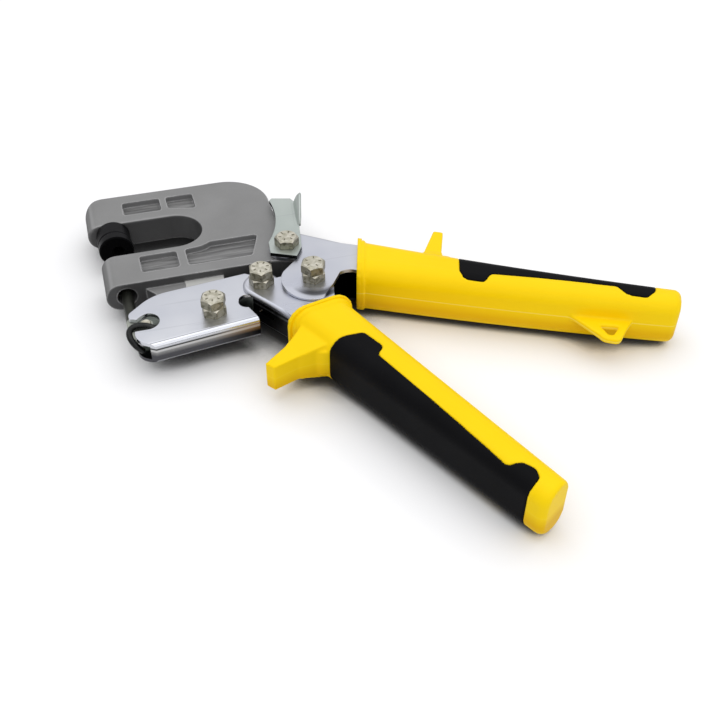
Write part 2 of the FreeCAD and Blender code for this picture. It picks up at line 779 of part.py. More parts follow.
def upper_channel():
    """Upper handle's channel: a lobe round the hand pivot, an ear on the frame, a tang in the grip."""
    body = new_body("upper_channel")
    near, far = UPPER_TANG
    web_start = shifted(FRAME_PIVOT, 8.8, 10.6)
    web_end = grip_point(UPPER_GRIP, -S.tang_ahead, far)
    slab(body, "upper_outline", [
        web_start,
        (*polar(FRAME_PIVOT, S.frame_lobe, 105), S.frame_lobe),
        (*polar(FRAME_PIVOT, S.frame_lobe, 200), S.frame_lobe),
        polar(FRAME_PIVOT, S.frame_lobe, -72),
        shifted(FRAME_PIVOT, 1.4, -10.8),
        (*polar(HAND_PIVOT, S.hand_lobe, 145), S.hand_lobe),
        (*polar(HAND_PIVOT, S.hand_lobe, 210), S.hand_lobe),
        polar(HAND_PIVOT, S.hand_lobe, -88),
        shifted(HAND_PIVOT, 7.5, -6.6),
        (*shifted(HAND_PIVOT, 12.9, 1.2), -7),
        grip_point(UPPER_GRIP, 0, -near),
        grip_point(UPPER_GRIP, S.tang_long, -near),
        grip_point(UPPER_GRIP, S.tang_long, far),
        web_end,
    ], S.upper_inside + 2 * S.upper_sheet)
    run = math.atan2(web_end[1].value - web_start[1].value, web_end[0].value - web_start[0].value)
    inner_start = polar(web_start, S.upper_sheet, math.degrees(run) - 90)
    window(body, "upper_inner", [
        polar(inner_start, -12, math.degrees(run)),
        shifted(FRAME_PIVOT, -FAR, FAR),
        shifted(HAND_PIVOT, -FAR, -FAR),
        grip_point(UPPER_GRIP, S.tang_long + 5, -FAR),
        grip_point(UPPER_GRIP, S.tang_long + 5, far - S.upper_sheet),
        grip_point(UPPER_GRIP, -S.tang_ahead, far - S.upper_sheet),
    ], S.upper_inside)
    round_edges(body, "upper_bends", S.bend_round, along_line(web_start, web_end, UPPER_FACE))
    rim = new_sketch(body, "coined_rim", "YZ_Plane")
    rim.AttachmentOffset = FreeCAD.Placement(
        FreeCAD.Vector(), FreeCAD.Rotation(FreeCAD.Vector(0, 1, 0), -1))
    bind(rim, "AttachmentOffset.Base.x", HAND_PIVOT[1])
    bind(rim, "AttachmentOffset.Base.z", HAND_PIVOT[0])
    bind(rim, "AttachmentOffset.Rotation.Angle", -S.rim_turn)
    fall_long = S.hand_lobe - S.hand_flat
    for side in (1, -1):
        draw(rim, [
            (-S.hand_flat, side * UPPER_FACE),
            (-S.hand_flat - 2 * fall_long, side * (UPPER_FACE - 2 * S.rim_drop)),
            (-S.hand_flat - 2 * fall_long, side * (UPPER_FACE + 2)),
            (-S.hand_flat, side * (UPPER_FACE + 2)),
        ])
    pocket(body, rim, 2 * S.hand_lobe, both_ways=True)
    bore(body, "frame_bore", FRAME_PIVOT, S.bolt_wide + 2 * S.fit)
    bore(body, "hand_bore_upper", HAND_PIVOT, S.bolt_wide + 2 * S.fit)
    return body


def latch_plate():
    """Locking plate on the frame pivot, with a bent-up finger tab."""
    body = new_body("latch_plate")
    layer(body, "latch_outline", [
        shifted(FRAME_PIVOT, -9.0, -5.0),
        shifted(FRAME_PIVOT, 2.3, -10.7),
        shifted(FRAME_PIVOT, 6.2, -4.0),
        shifted(FRAME_PIVOT, 9.2, 12.5),
        shifted(FRAME_PIVOT, 12.1, 35.0),
        shifted(FRAME_PIVOT, 10.8, 38.7),
        shifted(FRAME_PIVOT, 1.8, 41.2),
        (*shifted(FRAME_PIVOT, 0.2, 39.5), -53),
        shifted(FRAME_PIVOT, -8.0, 3.6),
    ], LATCH_FLOOR, LATCH_FACE)
    layer(body, "finger_tab", [
        shifted(FRAME_PIVOT, 9.2 - 1.8, 14.5),
        shifted(FRAME_PIVOT, 9.4, 14.5),
        shifted(FRAME_PIVOT, 12.0, 34.2),
        shifted(FRAME_PIVOT, 12.0 - 1.8, 34.2),
    ], LATCH_FLOOR, LATCH_FACE + S.tab_high)
    bore(body, "latch_bore", FRAME_PIVOT, S.bolt_wide + 2 * S.fit)
    return body


# ---------------------------------------------------------------- bolts

def pivot_bolt(name, pivot, head_floor, shank_floor, turn):
    """Hexagon bolt: head above its seat and a plain shank through the stack."""
    body = new_body(name)
    top = head_floor + S.head_high
    layer(body, name + "_head", hexagon(pivot, S.bolt_flats, turn), head_floor, top)
    disc(body, name + "_shank", pivot, S.bolt_wide / 2, shank_floor, head_floor)
    bevel_edges(body, name + "_bevel", S.head_chamfer, at_level(top))
    return body


def hex_ring(name, pivot, floor, top, turn, bevelled):
    """Hexagonal collar or nut round a bolt."""
    body = new_body(name)
    layer(body, name + "_hex", hexagon(pivot, S.bolt_flats, turn), floor, top)
    bevel_edges(body, name + "_bevel", S.head_chamfer, at_level(bevelled))
    bore(body, name + "_bore", pivot, S.bolt_wide + 2 * S.fit)
    return body


def pivot_sets():
    """The four pivot bolts with their collars and lock nuts."""
    stacks = (
        ("lever", LEVER_PIVOT, LEVER_FACE, LEVER_FACE, 12, True),
        ("link", LINK_PIVOT, LOWER_FACE, LOWER_FACE, 22, True),
        ("hand", HAND_PIVOT, UPPER_FACE, UPPER_FACE, 4, True),
        ("frame", FRAME_PIVOT, LATCH_FACE + S.latch_gap / 2, UPPER_FACE, 46, False),
    )
    nodes = []
    for name, pivot, seat, under, turn, collared in stacks:
        head_floor = seat
        if collared:
            head_floor = seat + S.collar_high
            nodes.append(hex_ring(name + "_collar", pivot, seat, head_floor, turn + 19, head_floor))
        nut_floor = -under - S.nut_high
        nodes.append(pivot_bolt(name + "_bolt", pivot, head_floor, nut_floor, turn))
        nodes.append(hex_ring(name + "_nut", pivot, nut_floor, -under, turn, nut_floor))
    return nodes


# ---------------------------------------------------------------- grips

def place_on_axis(thing, grip):
    """Puts a part that is drawn along X onto a grip's axis."""
    x, y, fall = grip[:3]
    thing.Placement = FreeCAD.Placement(FreeCAD.Vector(), FreeCAD.Rotation(FreeCAD.Vector(0, 0, 1), -1))
    bind(thing, "Placement.Base.x", x)
    bind(thing, "Placement.Base.y", y)
    bind(thing, "Placement.Rotation.Angle", -fall)


def tapered_bar(body, name, grip, shrink):
    """Tapered bar of rounded rectangular section, thinner all round by shrink."""
    long, bow = grip[4], grip[5]
    middle = 0.58
    sections = []
    for number, share in enumerate((0, middle, 1)):
        if share == middle and bow.value == 0:
            continue
        wide = S.grip_wide + (S.grip_tail - S.grip_wide) * share - 2 * shrink
        thick = S.grip_thick + (S.tail_thick - S.grip_thick) * share - 2 * shrink
        shift = S.tail_shift * share
        if share == middle:
            shift = shift - bow
        section = new_sketch(body, "%s_section_%d" % (name, number), "YZ_Plane", long * share)
        corner = S.grip_round + (S.tail_corner - S.grip_round) * share - shrink
        draw(section, rounded_rectangle(wide, thick, corner, grip[3] * shift))
        sections.append(section)
    loft = body.newObject("PartDesign::AdditiveLoft", name)
    loft.Profile = sections[0]
    loft.Sections = sections[1:]
    loft.Ruled = len(sections) == 2
    return loft


def grip_body(name, grip, tang, face, front, features):
    """Moulded grip: slanted collar flange, tapered bar, rounded tail and a socket for the tang."""
    body = new_body(name)
    side, long = grip[3], grip[4]
    half = S.flange_wide / 2
    lean = S.flange_lean * half
    corners = [
        (front + lean, -side * half), (front + lean + S.flange_long, -side * half),
        (front - lean + S.flange_long, side * half), (front - lean, side * half),
    ]
    slab(body, name + "_flange", corners, S.flange_thick)
    for label, first, last in (("inner", 0, 1), ("outer", 2, 3)):
        round_edges(body, "%s_flange_%s" % (name, label), S.flange_round,
                    along_line(corners[first], corners[last], S.flange_thick / 2))
    tapered_bar(body, name + "_bar", grip, as_size(0))

    def end_edge(edge):
        return all(abs(vertex.Point.x - long.value) < NEAR for vertex in edge.Vertexes)

    round_edges(body, name + "_tail", S.tail_round, end_edge)
    features(body, name, side, long)
    slant = S.flange_lean * FAR
    window(body, name + "_front_cut", [
        (front + slant, -side * FAR), (front - slant, side * FAR),
        (-FAR, side * FAR), (-FAR, -side * FAR),
    ])
    near, far = tang
    ahead = 8
    socket = new_sketch(body, name + "_socket", "YZ_Plane", as_size(-ahead))
    draw(socket, [(-side * near, -face), (side * far, -face), (side * far, face), (-side * near, face)])
    pocket(body, socket, S.tang_long + ahead, reverse=True)
    place_on_axis(body, grip)
    return body


def thumb_fin_and_loop(body, name, side, long):
    """Thumb fin on the outer side and hanging loop on the inner side of the upper grip."""
    slab(body, name + "_fin", [
        (27.0, side * 8.0),
        (37.0, side * 8.0),
        (36.4, side * 14.0),
        (34.4, side * S.fin_reach),
        (29.6, side * S.fin_reach),
        (28.0, side * 14.0),
    ], S.fin_thick)
    round_edges(body, name + "_fin_tip", 1.0, upright_at([(34.4, side * S.fin_reach), (29.6, side * S.fin_reach)]))
    # the loop is placed from the tail: its root, its toe and the eye in it
    root, toe = long - 52, long - 18.5
    slab(body, name + "_loop", [
        (root, side * -7.0),
        (toe, side * -5.0),
        (toe - 3.2, side * -13.0),
        (toe - 5.6, side * -21.4, side * -3),
        (toe - 8.4, side * -23.6),
        (toe - 12.2, side * -23.4, side * -4),
        (toe - 15.0, side * -21.4),
        (root + 8.0, side * -12.6),
    ], S.loop_thick)
    window(body, name + "_eye", [
        (toe - 15.6, side * -14.4),
        (toe - 7.0, side * -13.6),
        (toe - 9.2, side * -19.8),
        (toe - 11.2, side * -20.2),
    ])


def finger_guard(body, name, side, long):
    """Finger guard on the outer side of the lower grip."""
    slab(body, name + "_guard", [
        (1.0, side * 8.0),
        (24.0, side * 8.0),
        (22.0, side * 12.6, side * 6),
        (16.6, side * 17.0),
        (15.2, side * (S.guard_reach - 1)),
        (10.6, side * S.guard_reach),
        (7.4, side * 25.0),
        (3.4, side * 13.4),
    ], S.guard_thick)


def upper_insert_outline(long):
    """Plan of the upper soft insert: a front lobe, a long waist and a rear lobe."""
    return [
        (44.4, FAR), (45.0, 10.0), (47.2, -3.6), (50.0, -8.2), (59.4, -8.2), (61.4, -2.7),
        (83.0, -0.8), (long - 28.6, 1.2), (long - 24.2, -3.6), (long - 15.2, -3.6),
        (long - 11.8, 1.4), (long - 11.0, FAR),
    ]


def lower_insert_outline(long):
    """Plan of the lower soft insert: a front lobe, a long waist and a rear lobe."""
    points = [
        (22.0, FAR), (22.4, 12.0), (23.6, 6.6), (27.4, -2.0), (39.4, -2.6), (41.6, 2.6),
        (82.5, 4.6), (long - 20.8, 6.4), (long - 17.6, 1.6), (long - 12.6, 0.4), (long - 8.6, 2.6),
        (long - 8.4, 8.0), (long - 10.2, 12.0), (long - 10.4, FAR),
    ]
    return [(x, -y) for x, y in points]


def grip_and_insert(name, grip, tang, face, front, features, outline):
    """The hard grip with its soft insert let into its skin."""
    whole = grip_body(name + "_blank", grip, tang, face, front, features)
    plan = new_body(name + "_insert_plan")
    slab(plan, name + "_plan", outline, as_size(2 * FAR))
    inner = [(x, y) for x, y in outline[1:-1]]
    round_edges(plan, name + "_plan_corners", S.insert_corner, upright_at(inner))
    place_on_axis(plan, grip)
    core = new_body(name + "_core")
    tapered_bar(core, name + "_core_bar", grip, S.insert_thick)
    place_on_axis(core, grip)
    region = doc.addObject("Part::Common", name + "_insert_region")
    region.Base = whole
    region.Tool = plan
    insert = doc.addObject("Part::Cut", name + "_insert")
    insert.Base = region
    insert.Tool = core
    insert.Label = name + "_insert"
    shell = doc.addObject("Part::Cut", name + "_grip")
    shell.Base = whole
    shell.Tool = insert
    shell.Label = name + "_grip"
    return [shell, insert]


# ---------------------------------------------------------------- return spring

def return_spring():
    """Hooked end of the return spring's wire, bent round the lever's lower lip."""
    radius = S.wire_wide.value / 2
    level = S.lever_inside.value / 2 + S.lever_sheet.value / 2
    route = [
        (-29.2, -4.0 + radius, level),
        (-36.7, -4.0 + radius, level),
        (-38.3, -7.2, level),
        (-37.8, -11.8, level),
        (-34.8, -15.4, level - 1.2),
    ]
    points = [FreeCAD.Vector(*point) for point in route]
    edges = []
    last = points[0]
    for before, corner, after in zip(points, points[1:], points[2:]):
        back = (before - corner).normalize()
        ahead = (after - corner).normalize()
        turn = math.pi - back.getAngle(ahead)
        reach = 0.45 * min((before - corner).Length, (after - corner).Length)
        start = corner + back * reach
        end = corner + ahead * reach
        bend = reach / math.tan(turn / 2)
        centre = corner + (back + ahead).normalize() * (bend / math.cos(turn / 2))
        middle = centre + (corner - centre).normalize() * bend
        edges.append(Part.LineSegment(last, start).toShape())
        edges.append(Part.Arc(start, middle, end).toShape())
        last = end
    edges.append(Part.LineSegment(last, points[-1]).toShape())
    spine = Part.Wire(edges)
    direction = points[1] - points[0]
    section = Part.Wire(Part.Circle(points[0], direction, radius).toShape())
    spring = doc.addObject("Part::Feature", "return_spring")
    spring.Label = "return_spring"
    spring.Shape = spine.makePipeShell([section], True, False)
    return spring


# ---------------------------------------------------------------- assembly

nodes = [c_frame(), die_button(), punch_guide(), punch_rod(), punch_pin()]
nodes += [lever_channel(), return_spring(), lower_channel(), upper_channel(), latch_plate()]
nodes += pivot_sets()
nodes += grip_and_insert(
    "upper", UPPER_GRIP, UPPER_TANG, UPPER_FACE, S.upper_flange, thumb_fin_and_loop,
    upper_insert_outline(S.upper_long))
nodes += grip_and_insert(
    "lower", LOWER_GRIP, LOWER_TANG, LOWER_FACE, S.lower_flange, finger_guard,
    lower_insert_outline(S.lower_long))

doc.recompute()
for thing in doc.Objects:
    if "Invalid" in thing.State or "Error" in thing.State:
        raise RuntimeError("%s did not build: %s" % (thing.Name, thing.State))
for node in nodes:
    if node.Shape.isNull() or not node.Shape.isValid():
        raise RuntimeError("%s has no valid shape" % node.Label)

box = FreeCAD.BoundBox()
for node in nodes:
    box.add(node.Shape.optimalBoundingBox(True, False))
origin = FreeCAD.Vector(-box.Center.x, -box.Center.y, -box.ZMin)
os.makedirs("parts", exist_ok=True)
for node in nodes:
    placement = node.Placement
    placement.move(origin)
    node.Placement = placement
    node.Shape.exportStep("parts/%s.step" % node.Label)
print("layout moved by %.4f %.4f %.4f mm" % (origin.x, origin.y, origin.z))
print("box %.2f x %.2f x %.2f mm" % (box.XLength, box.YLength, box.ZLength))
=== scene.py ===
"""One-hand stud crimping plier: a cast C-frame, pressed zinc-plated handles, yellow grips."""
import math

import bmesh
import bpy
from mathutils import Matrix, Vector

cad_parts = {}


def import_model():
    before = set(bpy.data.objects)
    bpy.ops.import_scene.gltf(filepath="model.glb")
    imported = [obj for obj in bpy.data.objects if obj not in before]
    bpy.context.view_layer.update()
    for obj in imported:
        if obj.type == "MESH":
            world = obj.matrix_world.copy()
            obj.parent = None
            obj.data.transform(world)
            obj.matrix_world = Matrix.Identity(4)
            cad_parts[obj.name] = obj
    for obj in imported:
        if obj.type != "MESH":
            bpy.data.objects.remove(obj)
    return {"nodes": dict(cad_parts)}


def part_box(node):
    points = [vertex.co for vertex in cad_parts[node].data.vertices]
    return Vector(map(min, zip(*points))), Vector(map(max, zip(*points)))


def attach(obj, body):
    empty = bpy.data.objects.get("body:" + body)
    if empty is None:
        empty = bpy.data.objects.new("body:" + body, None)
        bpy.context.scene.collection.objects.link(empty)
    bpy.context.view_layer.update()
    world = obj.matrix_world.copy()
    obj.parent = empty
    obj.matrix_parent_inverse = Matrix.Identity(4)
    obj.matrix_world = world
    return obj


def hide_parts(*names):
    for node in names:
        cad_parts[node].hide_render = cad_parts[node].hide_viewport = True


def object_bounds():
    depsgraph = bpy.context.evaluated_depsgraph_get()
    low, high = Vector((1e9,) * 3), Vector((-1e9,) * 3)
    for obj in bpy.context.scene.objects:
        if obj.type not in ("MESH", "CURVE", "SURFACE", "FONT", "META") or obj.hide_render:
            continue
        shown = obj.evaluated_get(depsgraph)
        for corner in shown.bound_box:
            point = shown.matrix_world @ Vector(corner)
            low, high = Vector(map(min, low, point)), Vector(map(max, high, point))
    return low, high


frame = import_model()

nodes = frame["nodes"]
cad_low, cad_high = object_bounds()
MM = 0.001
# Distances under which places are one: in a solid's mesh, and in a piece made here.
WELD = 0.002 * MM
SAME_PLACE = 0.01 * MM
# Sizes of the solids that finishes and pieces go by, up from the middle plane or along the part.
POCKET_FLOOR = 4.0 * MM
LAND_HALF = 3.3 * MM
SHEET = 1.8 * MM
FOOT_LONG = 11.0 * MM
WIRE_THICK = 2.8 * MM
BOLT_HEAD = 4.5 * MM

# ---------------------------------------------------------------- camera

LENS = 47.5
EYE_LEFT = 34.3 * MM
EYE_FRONT = 332.4 * MM
EYE_HIGH = 281.0 * MM
CAMERA_FALL = math.radians(41.4)
CAMERA_TURN = math.radians(17.0)
CAMERA_ROLL = math.radians(0.6)


def middle_of(node):
    """Middle of a node's box at rest."""
    low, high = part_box(node)
    return (Vector(low) + Vector(high)) / 2


LEVER_PIVOT = middle_of("lever_nut")
HAND_PIVOT = middle_of("hand_nut")
FRAME_PIVOT = middle_of("frame_nut")
MIDDLE = middle_of("c_frame").z
LATCH_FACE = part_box("frame_bolt")[1][2] - BOLT_HEAD


def merged_copy(node):
    """A solid's mesh as one closed shell."""
    shape = bmesh.new()
    shape.from_mesh(nodes[node].data)
    bmesh.ops.remove_doubles(shape, verts=shape.verts, dist=WELD)
    return shape


def pocket_boxes():
    """Middle and half size, right and back, of each pocket's floor in the casting."""
    shape = merged_copy("c_frame")
    floors = {face for face in shape.faces if face.normal.z > 0.9
              and abs(face.calc_center_median().z - MIDDLE - POCKET_FLOOR) < 0.1 * MM}
    boxes = []
    while floors:
        island, waiting = set(), [floors.pop()]
        while waiting:
            face = waiting.pop()
            island.update(vert.co.to_tuple() for vert in face.verts)
            joined = {other for edge in face.edges for other in edge.link_faces} & floors
            floors -= joined
            waiting += joined
        across = [place[0] for place in island]
        back = [place[1] for place in island]
        boxes.append(((min(across) + max(across)) / 2, (min(back) + max(back)) / 2,
                      (max(across) - min(across)) / 2, (max(back) - min(back)) / 2))
    shape.free()
    return sorted(boxes)


POCKETS = pocket_boxes()


def camera():
    """Camera in front of the lever pivot and above it, looking down over the tool."""
    data = bpy.data.cameras.new("camera")
    data.lens = LENS
    data.sensor_width = 36.0
    data.clip_start = 0.01
    data.clip_end = 50.0
    eye = bpy.data.objects.new("camera", data)
    bpy.context.scene.collection.objects.link(eye)
    turn = Matrix.Rotation(-CAMERA_TURN, 3, "Z")
    fall = Matrix.Rotation(math.pi / 2 - CAMERA_FALL, 3, "X")
    roll = Matrix.Rotation(CAMERA_ROLL, 3, "Z")
    eye.rotation_euler = (turn @ fall @ roll).to_euler()
    eye.location = (LEVER_PIVOT.x - EYE_LEFT, LEVER_PIVOT.y - EYE_FRONT, cad_low.z + EYE_HIGH)
    bpy.context.scene.camera = eye
    bpy.context.scene.view_settings.view_transform = "Standard"


camera()

# ---------------------------------------------------------------- shader building


class Tree:
    """Short hand for laying out shader nodes."""

    def __init__(self, tree):
        self.tree = tree

    def node(self, kind, **settings):
        """A new node with its settings."""
        made = self.tree.nodes.new(kind)
        for name, value in settings.items():
            setattr(made, name, value)
        return made

    def put(self, socket, value):
        """Links a socket to a value socket, or sets it to a plain value."""
        if isinstance(value, bpy.types.NodeSocket):
            self.tree.links.new(value, socket)
        else:
            socket.default_value = value

    def math(self, operation, first, second=0.0, clamp=False):
        """One sum, product or other operation on two values."""
        made = self.node("ShaderNodeMath", operation=operation, use_clamp=clamp)
        self.put(made.inputs[0], first)
        self.put(made.inputs[1], second)
        return made.outputs[0]

    def remap(self, value, low, high, to_low=0.0, to_high=1.0):
        """Stretches a range of a value to another range, and stops at its ends."""
        made = self.node("ShaderNodeMapRange", clamp=True)
        for socket, number in zip(made.inputs, (value, low, high, to_low, to_high)):
            self.put(socket, number)
        return made.outputs[0]

    def mix(self, share, first, second):
        """A share of the second colour in the first."""
        made = self.node("ShaderNodeMix", data_type="RGBA")
        self.put(made.inputs["Factor"], share)
        colours = [socket for socket in made.inputs if socket.type == "RGBA"]
        self.put(colours[0], first)
        self.put(colours[1], second)
        return [socket for socket in made.outputs if socket.type == "RGBA"][0]

    def over(self, base, tone, mask, amount):
        """Lays a tone over a base where a mask is 1, as strongly as the amount says."""
        return self.mix(self.math("MULTIPLY", mask, amount), base, tone)

    def noise(self, place, scale, detail, rough, stretch=None):
        """Smooth noise over a place, drawn out along an axis where a stretch is given."""
        if stretch:
            mapping = self.node("ShaderNodeMapping")
            self.put(mapping.inputs["Vector"], place)
            mapping.inputs["Scale"].default_value = stretch
            place = mapping.outputs["Vector"]
        made = self.node("ShaderNodeTexNoise")
        self.put(made.inputs["Vector"], place)
        self.put(made.inputs["Scale"], scale)
        self.put(made.inputs["Detail"], detail)
        self.put(made.inputs["Roughness"], rough)
        return made.outputs[0]

    def place(self):
        """The surface's place on the piece itself."""
        return self.node("ShaderNodeTexCoord").outputs["Object"]

    def parts_of(self, vector):
        """The three parts of a vector."""
        made = self.node("ShaderNodeSeparateXYZ")
        self.put(made.inputs[0], vector)
        return made.outputs

    def level(self):
        """Height of the surface."""
        return self.parts_of(self.place())[2]

    def facing(self):
        """The surface's normal on the piece itself, as its three parts."""
        turned = self.node("ShaderNodeVectorTransform", vector_type="NORMAL",
                           convert_from="WORLD", convert_to="OBJECT")
        self.put(turned.inputs[0], self.node("ShaderNodeNewGeometry").outputs["Normal"])
        return self.parts_of(turned.outputs[0])

    def near(self, value, aim, close, far):
        """1 where a value is close to its aim, 0 where it is far from it."""
        return self.remap(self.math("ABSOLUTE", self.math("SUBTRACT", value, aim)), far, close)

    def all_of(self, *masks):
        """1 only where every mask is 1."""
        result = masks[0]
        for mask in masks[1:]:
            result = self.math("MULTIPLY", result, mask)
        return result


def group(name, inputs, outputs, fill):
    """A shader node group with named sockets, filled by a function of its inputs."""
    tree = bpy.data.node_groups.new(name, "ShaderNodeTree")
    for label, kind, default in inputs:
        socket = tree.interface.new_socket(label, in_out="INPUT", socket_type="NodeSocket" + kind)
        socket.default_value = default
    for label, kind in outputs:
        tree.interface.new_socket(label, in_out="OUTPUT", socket_type="NodeSocket" + kind)
    lay = Tree(tree)
    entry = lay.node("NodeGroupInput")
    leave = lay.node("NodeGroupOutput")
    results = fill(lay, {socket.name: socket for socket in entry.outputs if socket.name})
    for label, result in results.items():
        lay.put(leave.inputs[label], result)
    return tree


def edge_wear_and_highlight(lay, given):
    """Mask of the outer edges, broken up by noise: 1 on an edge, 0 on the flats. It stands for rubbed wear on
    some finishes and for painted highlight on others.
    """
    bevel = lay.node("ShaderNodeBevel", samples=4)
    lay.put(bevel.inputs["Radius"], given["Width"])
    geometry = lay.node("ShaderNodeNewGeometry")
    dot = lay.node("ShaderNodeVectorMath", operation="DOT_PRODUCT")
    lay.put(dot.inputs[0], bevel.outputs["Normal"])
    lay.put(dot.inputs[1], geometry.outputs["Normal"])
    bent = lay.remap(dot.outputs["Value"], 0.995, 0.86)
    patches = lay.noise(lay.place(), given["Patches"], 4.0, 0.6)
    broken = lay.remap(patches, 0.42, 0.62)
    kept = lay.math("ADD", lay.math("MULTIPLY", broken, 0.5), given["Share"], clamp=True)
    return {"Mask": lay.math("MULTIPLY", bent, kept)}


def mottle(lay, given):
    """Slow and fine variation of a surface: a slow mask, a fine grain and a height."""
    place = lay.place()
    slow = lay.noise(place, given["Patches"], 3.0, 0.5)
    fine = lay.noise(place, given["Grain"], 4.0, 0.65)
    mid = lay.noise(place, lay.math("MULTIPLY", given["Grain"], 0.28), 2.0, 0.5)
    height = lay.math("ADD", fine, lay.math("MULTIPLY", mid, 0.8))
    return {"Slow": lay.remap(slow, 0.3, 0.7), "Fine": lay.remap(fine, 0.3, 0.7), "Height": height}


def brushed(lay, given):
    """Fine drawn lines of rolled sheet along the given direction, with a few longer scratches."""
    mapping = lay.node("ShaderNodeMapping")
    lay.put(mapping.inputs["Vector"], lay.place())
    lay.put(mapping.inputs["Rotation"], given["Turn"])
    mapping.inputs["Scale"].default_value = (0.05, 1.0, 0.6)
    lines = lay.noise(mapping.outputs["Vector"], given["Lines"], 5.0, 0.7)
    cross = lay.node("ShaderNodeMapping")
    lay.put(cross.inputs["Vector"], lay.place())
    cross.inputs["Rotation"].default_value = (0.0, 0.0, 0.9)
    cross.inputs["Scale"].default_value = (0.03, 1.0, 0.4)
    scratches = lay.noise(cross.outputs["Vector"], lay.math("MULTIPLY", given["Lines"], 0.4), 2.0, 0.4)
    return {"Lines": lay.remap(lines, 0.3, 0.7), "Scratches": lay.remap(scratches, 0.68, 0.74)}


# Edge mask: rubbed wear on black steel and bolt tops; partly wear and partly painted highlight on the
# casting; painted highlight on the grips and the rubber.
EDGES = group("edge_wear_and_highlight",
              [("Width", "Float", 0.8 * MM), ("Patches", "Float", 220.0), ("Share", "Float", 0.5)],
              [("Mask", "Float")], edge_wear_and_highlight)
MOTTLE = group("mottle", [("Patches", "Float", 30.0), ("Grain", "Float", 1500.0)],
               [("Slow", "Float"), ("Fine", "Float"), ("Height", "Float")], mottle)
BRUSHED = group("brushed", [("Turn", "Vector", (0.0, 0.0, 0.0)), ("Lines", "Float", 900.0)],
                [("Lines", "Float"), ("Scratches", "Float")], brushed)


def use_group(lay, tree, **values):
    """A node group in use: its outputs by name."""
    made = lay.node("ShaderNodeGroup", node_tree=tree)
    for label, value in values.items():
        lay.put(made.inputs[label], value)
    return {socket.name: socket for socket in made.outputs}


def bare_tree(owner):
    """The emptied shader tree of a material or of the world."""
    owner.use_nodes = True
    owner.node_tree.nodes.clear()
    return Tree(owner.node_tree)


def grey(value):
    """A plain grey of linear light."""
    return (value, value, value, 1.0)


def colour(red, green, blue):
    """A colour given in display values from 0 to 255, as linear light."""
    def linear(channel):
        share = channel / 255.0
        if share <= 0.04045:
            return share / 12.92
        return ((share + 0.055) / 1.055) ** 2.4
    return (linear(red), linear(green), linear(blue), 1.0)


def finish_of(name, fill, soft=0.0, **constants):
    """A material: its shader's plain values, what the fill function links to it, and its edges' softness."""
    material = bpy.data.materials.new(name)
    lay = bare_tree(material)
    shader = lay.node("ShaderNodeBsdfPrincipled")
    leave = lay.node("ShaderNodeOutputMaterial")
    lay.put(leave.inputs["Surface"], shader.outputs["BSDF"])
    for label, value in constants.items():
        shader.inputs[label.replace("_", " ")].default_value = value
    linked, height, strength, depth = fill(lay)
    for label, value in linked.items():
        lay.put(shader.inputs[label], value)
    bump = lay.node("ShaderNodeBump")
    bump.inputs["Strength"].default_value = strength
    bump.inputs["Distance"].default_value = depth
    lay.put(bump.inputs["Height"], height)
    if soft:
        eased = lay.node("ShaderNodeBevel", samples=6)
        eased.inputs["Radius"].default_value = soft
        lay.put(bump.inputs["Normal"], eased.outputs["Normal"])
    lay.put(shader.inputs["Normal"], bump.outputs["Normal"])
    return material


def walls_mask(lay, steep=0.35, flat=0.9):
    """1 on upright walls, 0 on level faces."""
    return lay.remap(lay.math("ABSOLUTE", lay.facing()[2]), flat, steep)


def casting_fill(lay):
    """Blasted aluminium: walls darkened by painted shade, less in the pockets, drawn streaks on the pocket
    floors, a bright land, a painted highlight on the rounded rims, and edges lightened partly by rubbing and
    partly by painted highlight.
    """
    skin = use_group(lay, MOTTLE, Patches=45.0, Grain=2600.0)
    edge = use_group(lay, EDGES, Width=1.2 * MM, Patches=260.0, Share=0.6)
    base = lay.mix(skin["Slow"], colour(129, 129, 128), colour(139, 139, 138))
    speckled = lay.over(base, colour(122, 122, 122), skin["Fine"], 0.3)
    place = lay.parts_of(lay.place())
    draft, past_draft = 0.9 * MM, 1.2 * MM
    inside = 0.0
    for across, back, half_long, half_deep in POCKETS:
        here = lay.all_of(lay.near(place[0], across, half_long + draft, half_long + past_draft),
                          lay.near(place[1], back, half_deep + draft, half_deep + past_draft))
        inside = lay.math("ADD", here, inside, clamp=True)
    # Painted shade: upright walls are darker than the flats, most on the outer walls; the pocket walls are
    # left lighter.
    wall = lay.mix(inside, colour(72, 72, 72), colour(122, 122, 122))
    walls = lay.mix(walls_mask(lay), speckled, wall)
    streaks = lay.noise(lay.place(), 700.0, 4.0, 0.65, stretch=(0.05, 1.0, 0.5))
    up = lay.remap(lay.facing()[2], 0.5, 0.9)
    on_floor = lay.all_of(up, lay.near(lay.level(), MIDDLE + POCKET_FLOOR, 0.2 * MM, 0.8 * MM))
    floors = lay.mix(lay.remap(streaks, 0.35, 0.65), colour(80, 80, 80), colour(136, 136, 135))
    pocketed = lay.mix(on_floor, walls, floors)
    on_land = lay.all_of(up, lay.near(lay.level(), MIDDLE + LAND_HALF, 0.1 * MM, 0.3 * MM))
    landed = lay.mix(on_land, pocketed, colour(196, 196, 192))
    # Painted highlight on the sloped fillets of the rims, above the pocket floors.
    above_floor = lay.remap(lay.level(), MIDDLE + POCKET_FLOOR + 1.0 * MM, MIDDLE + POCKET_FLOOR + 2.0 * MM)
    rim = lay.all_of(lay.near(lay.facing()[2], 0.74, 0.08, 0.2), above_floor)
    painted_rim_tone = lay.over(landed, colour(176, 176, 176), rim, 0.45)
    # Edges lightened partly by rubbing and partly by painted highlight.
    edges_worn_and_lit = lay.over(painted_rim_tone, colour(196, 196, 196), edge["Mask"], 0.75)
    rough = lay.remap(skin["Fine"], 0.0, 1.0, 0.42, 0.56)
    height = lay.math("ADD", skin["Height"], lay.math("MULTIPLY", lay.all_of(streaks, on_floor), 3.0))
    return {"Base Color": edges_worn_and_lit, "Roughness": rough}, height, 0.35, 0.06 * MM


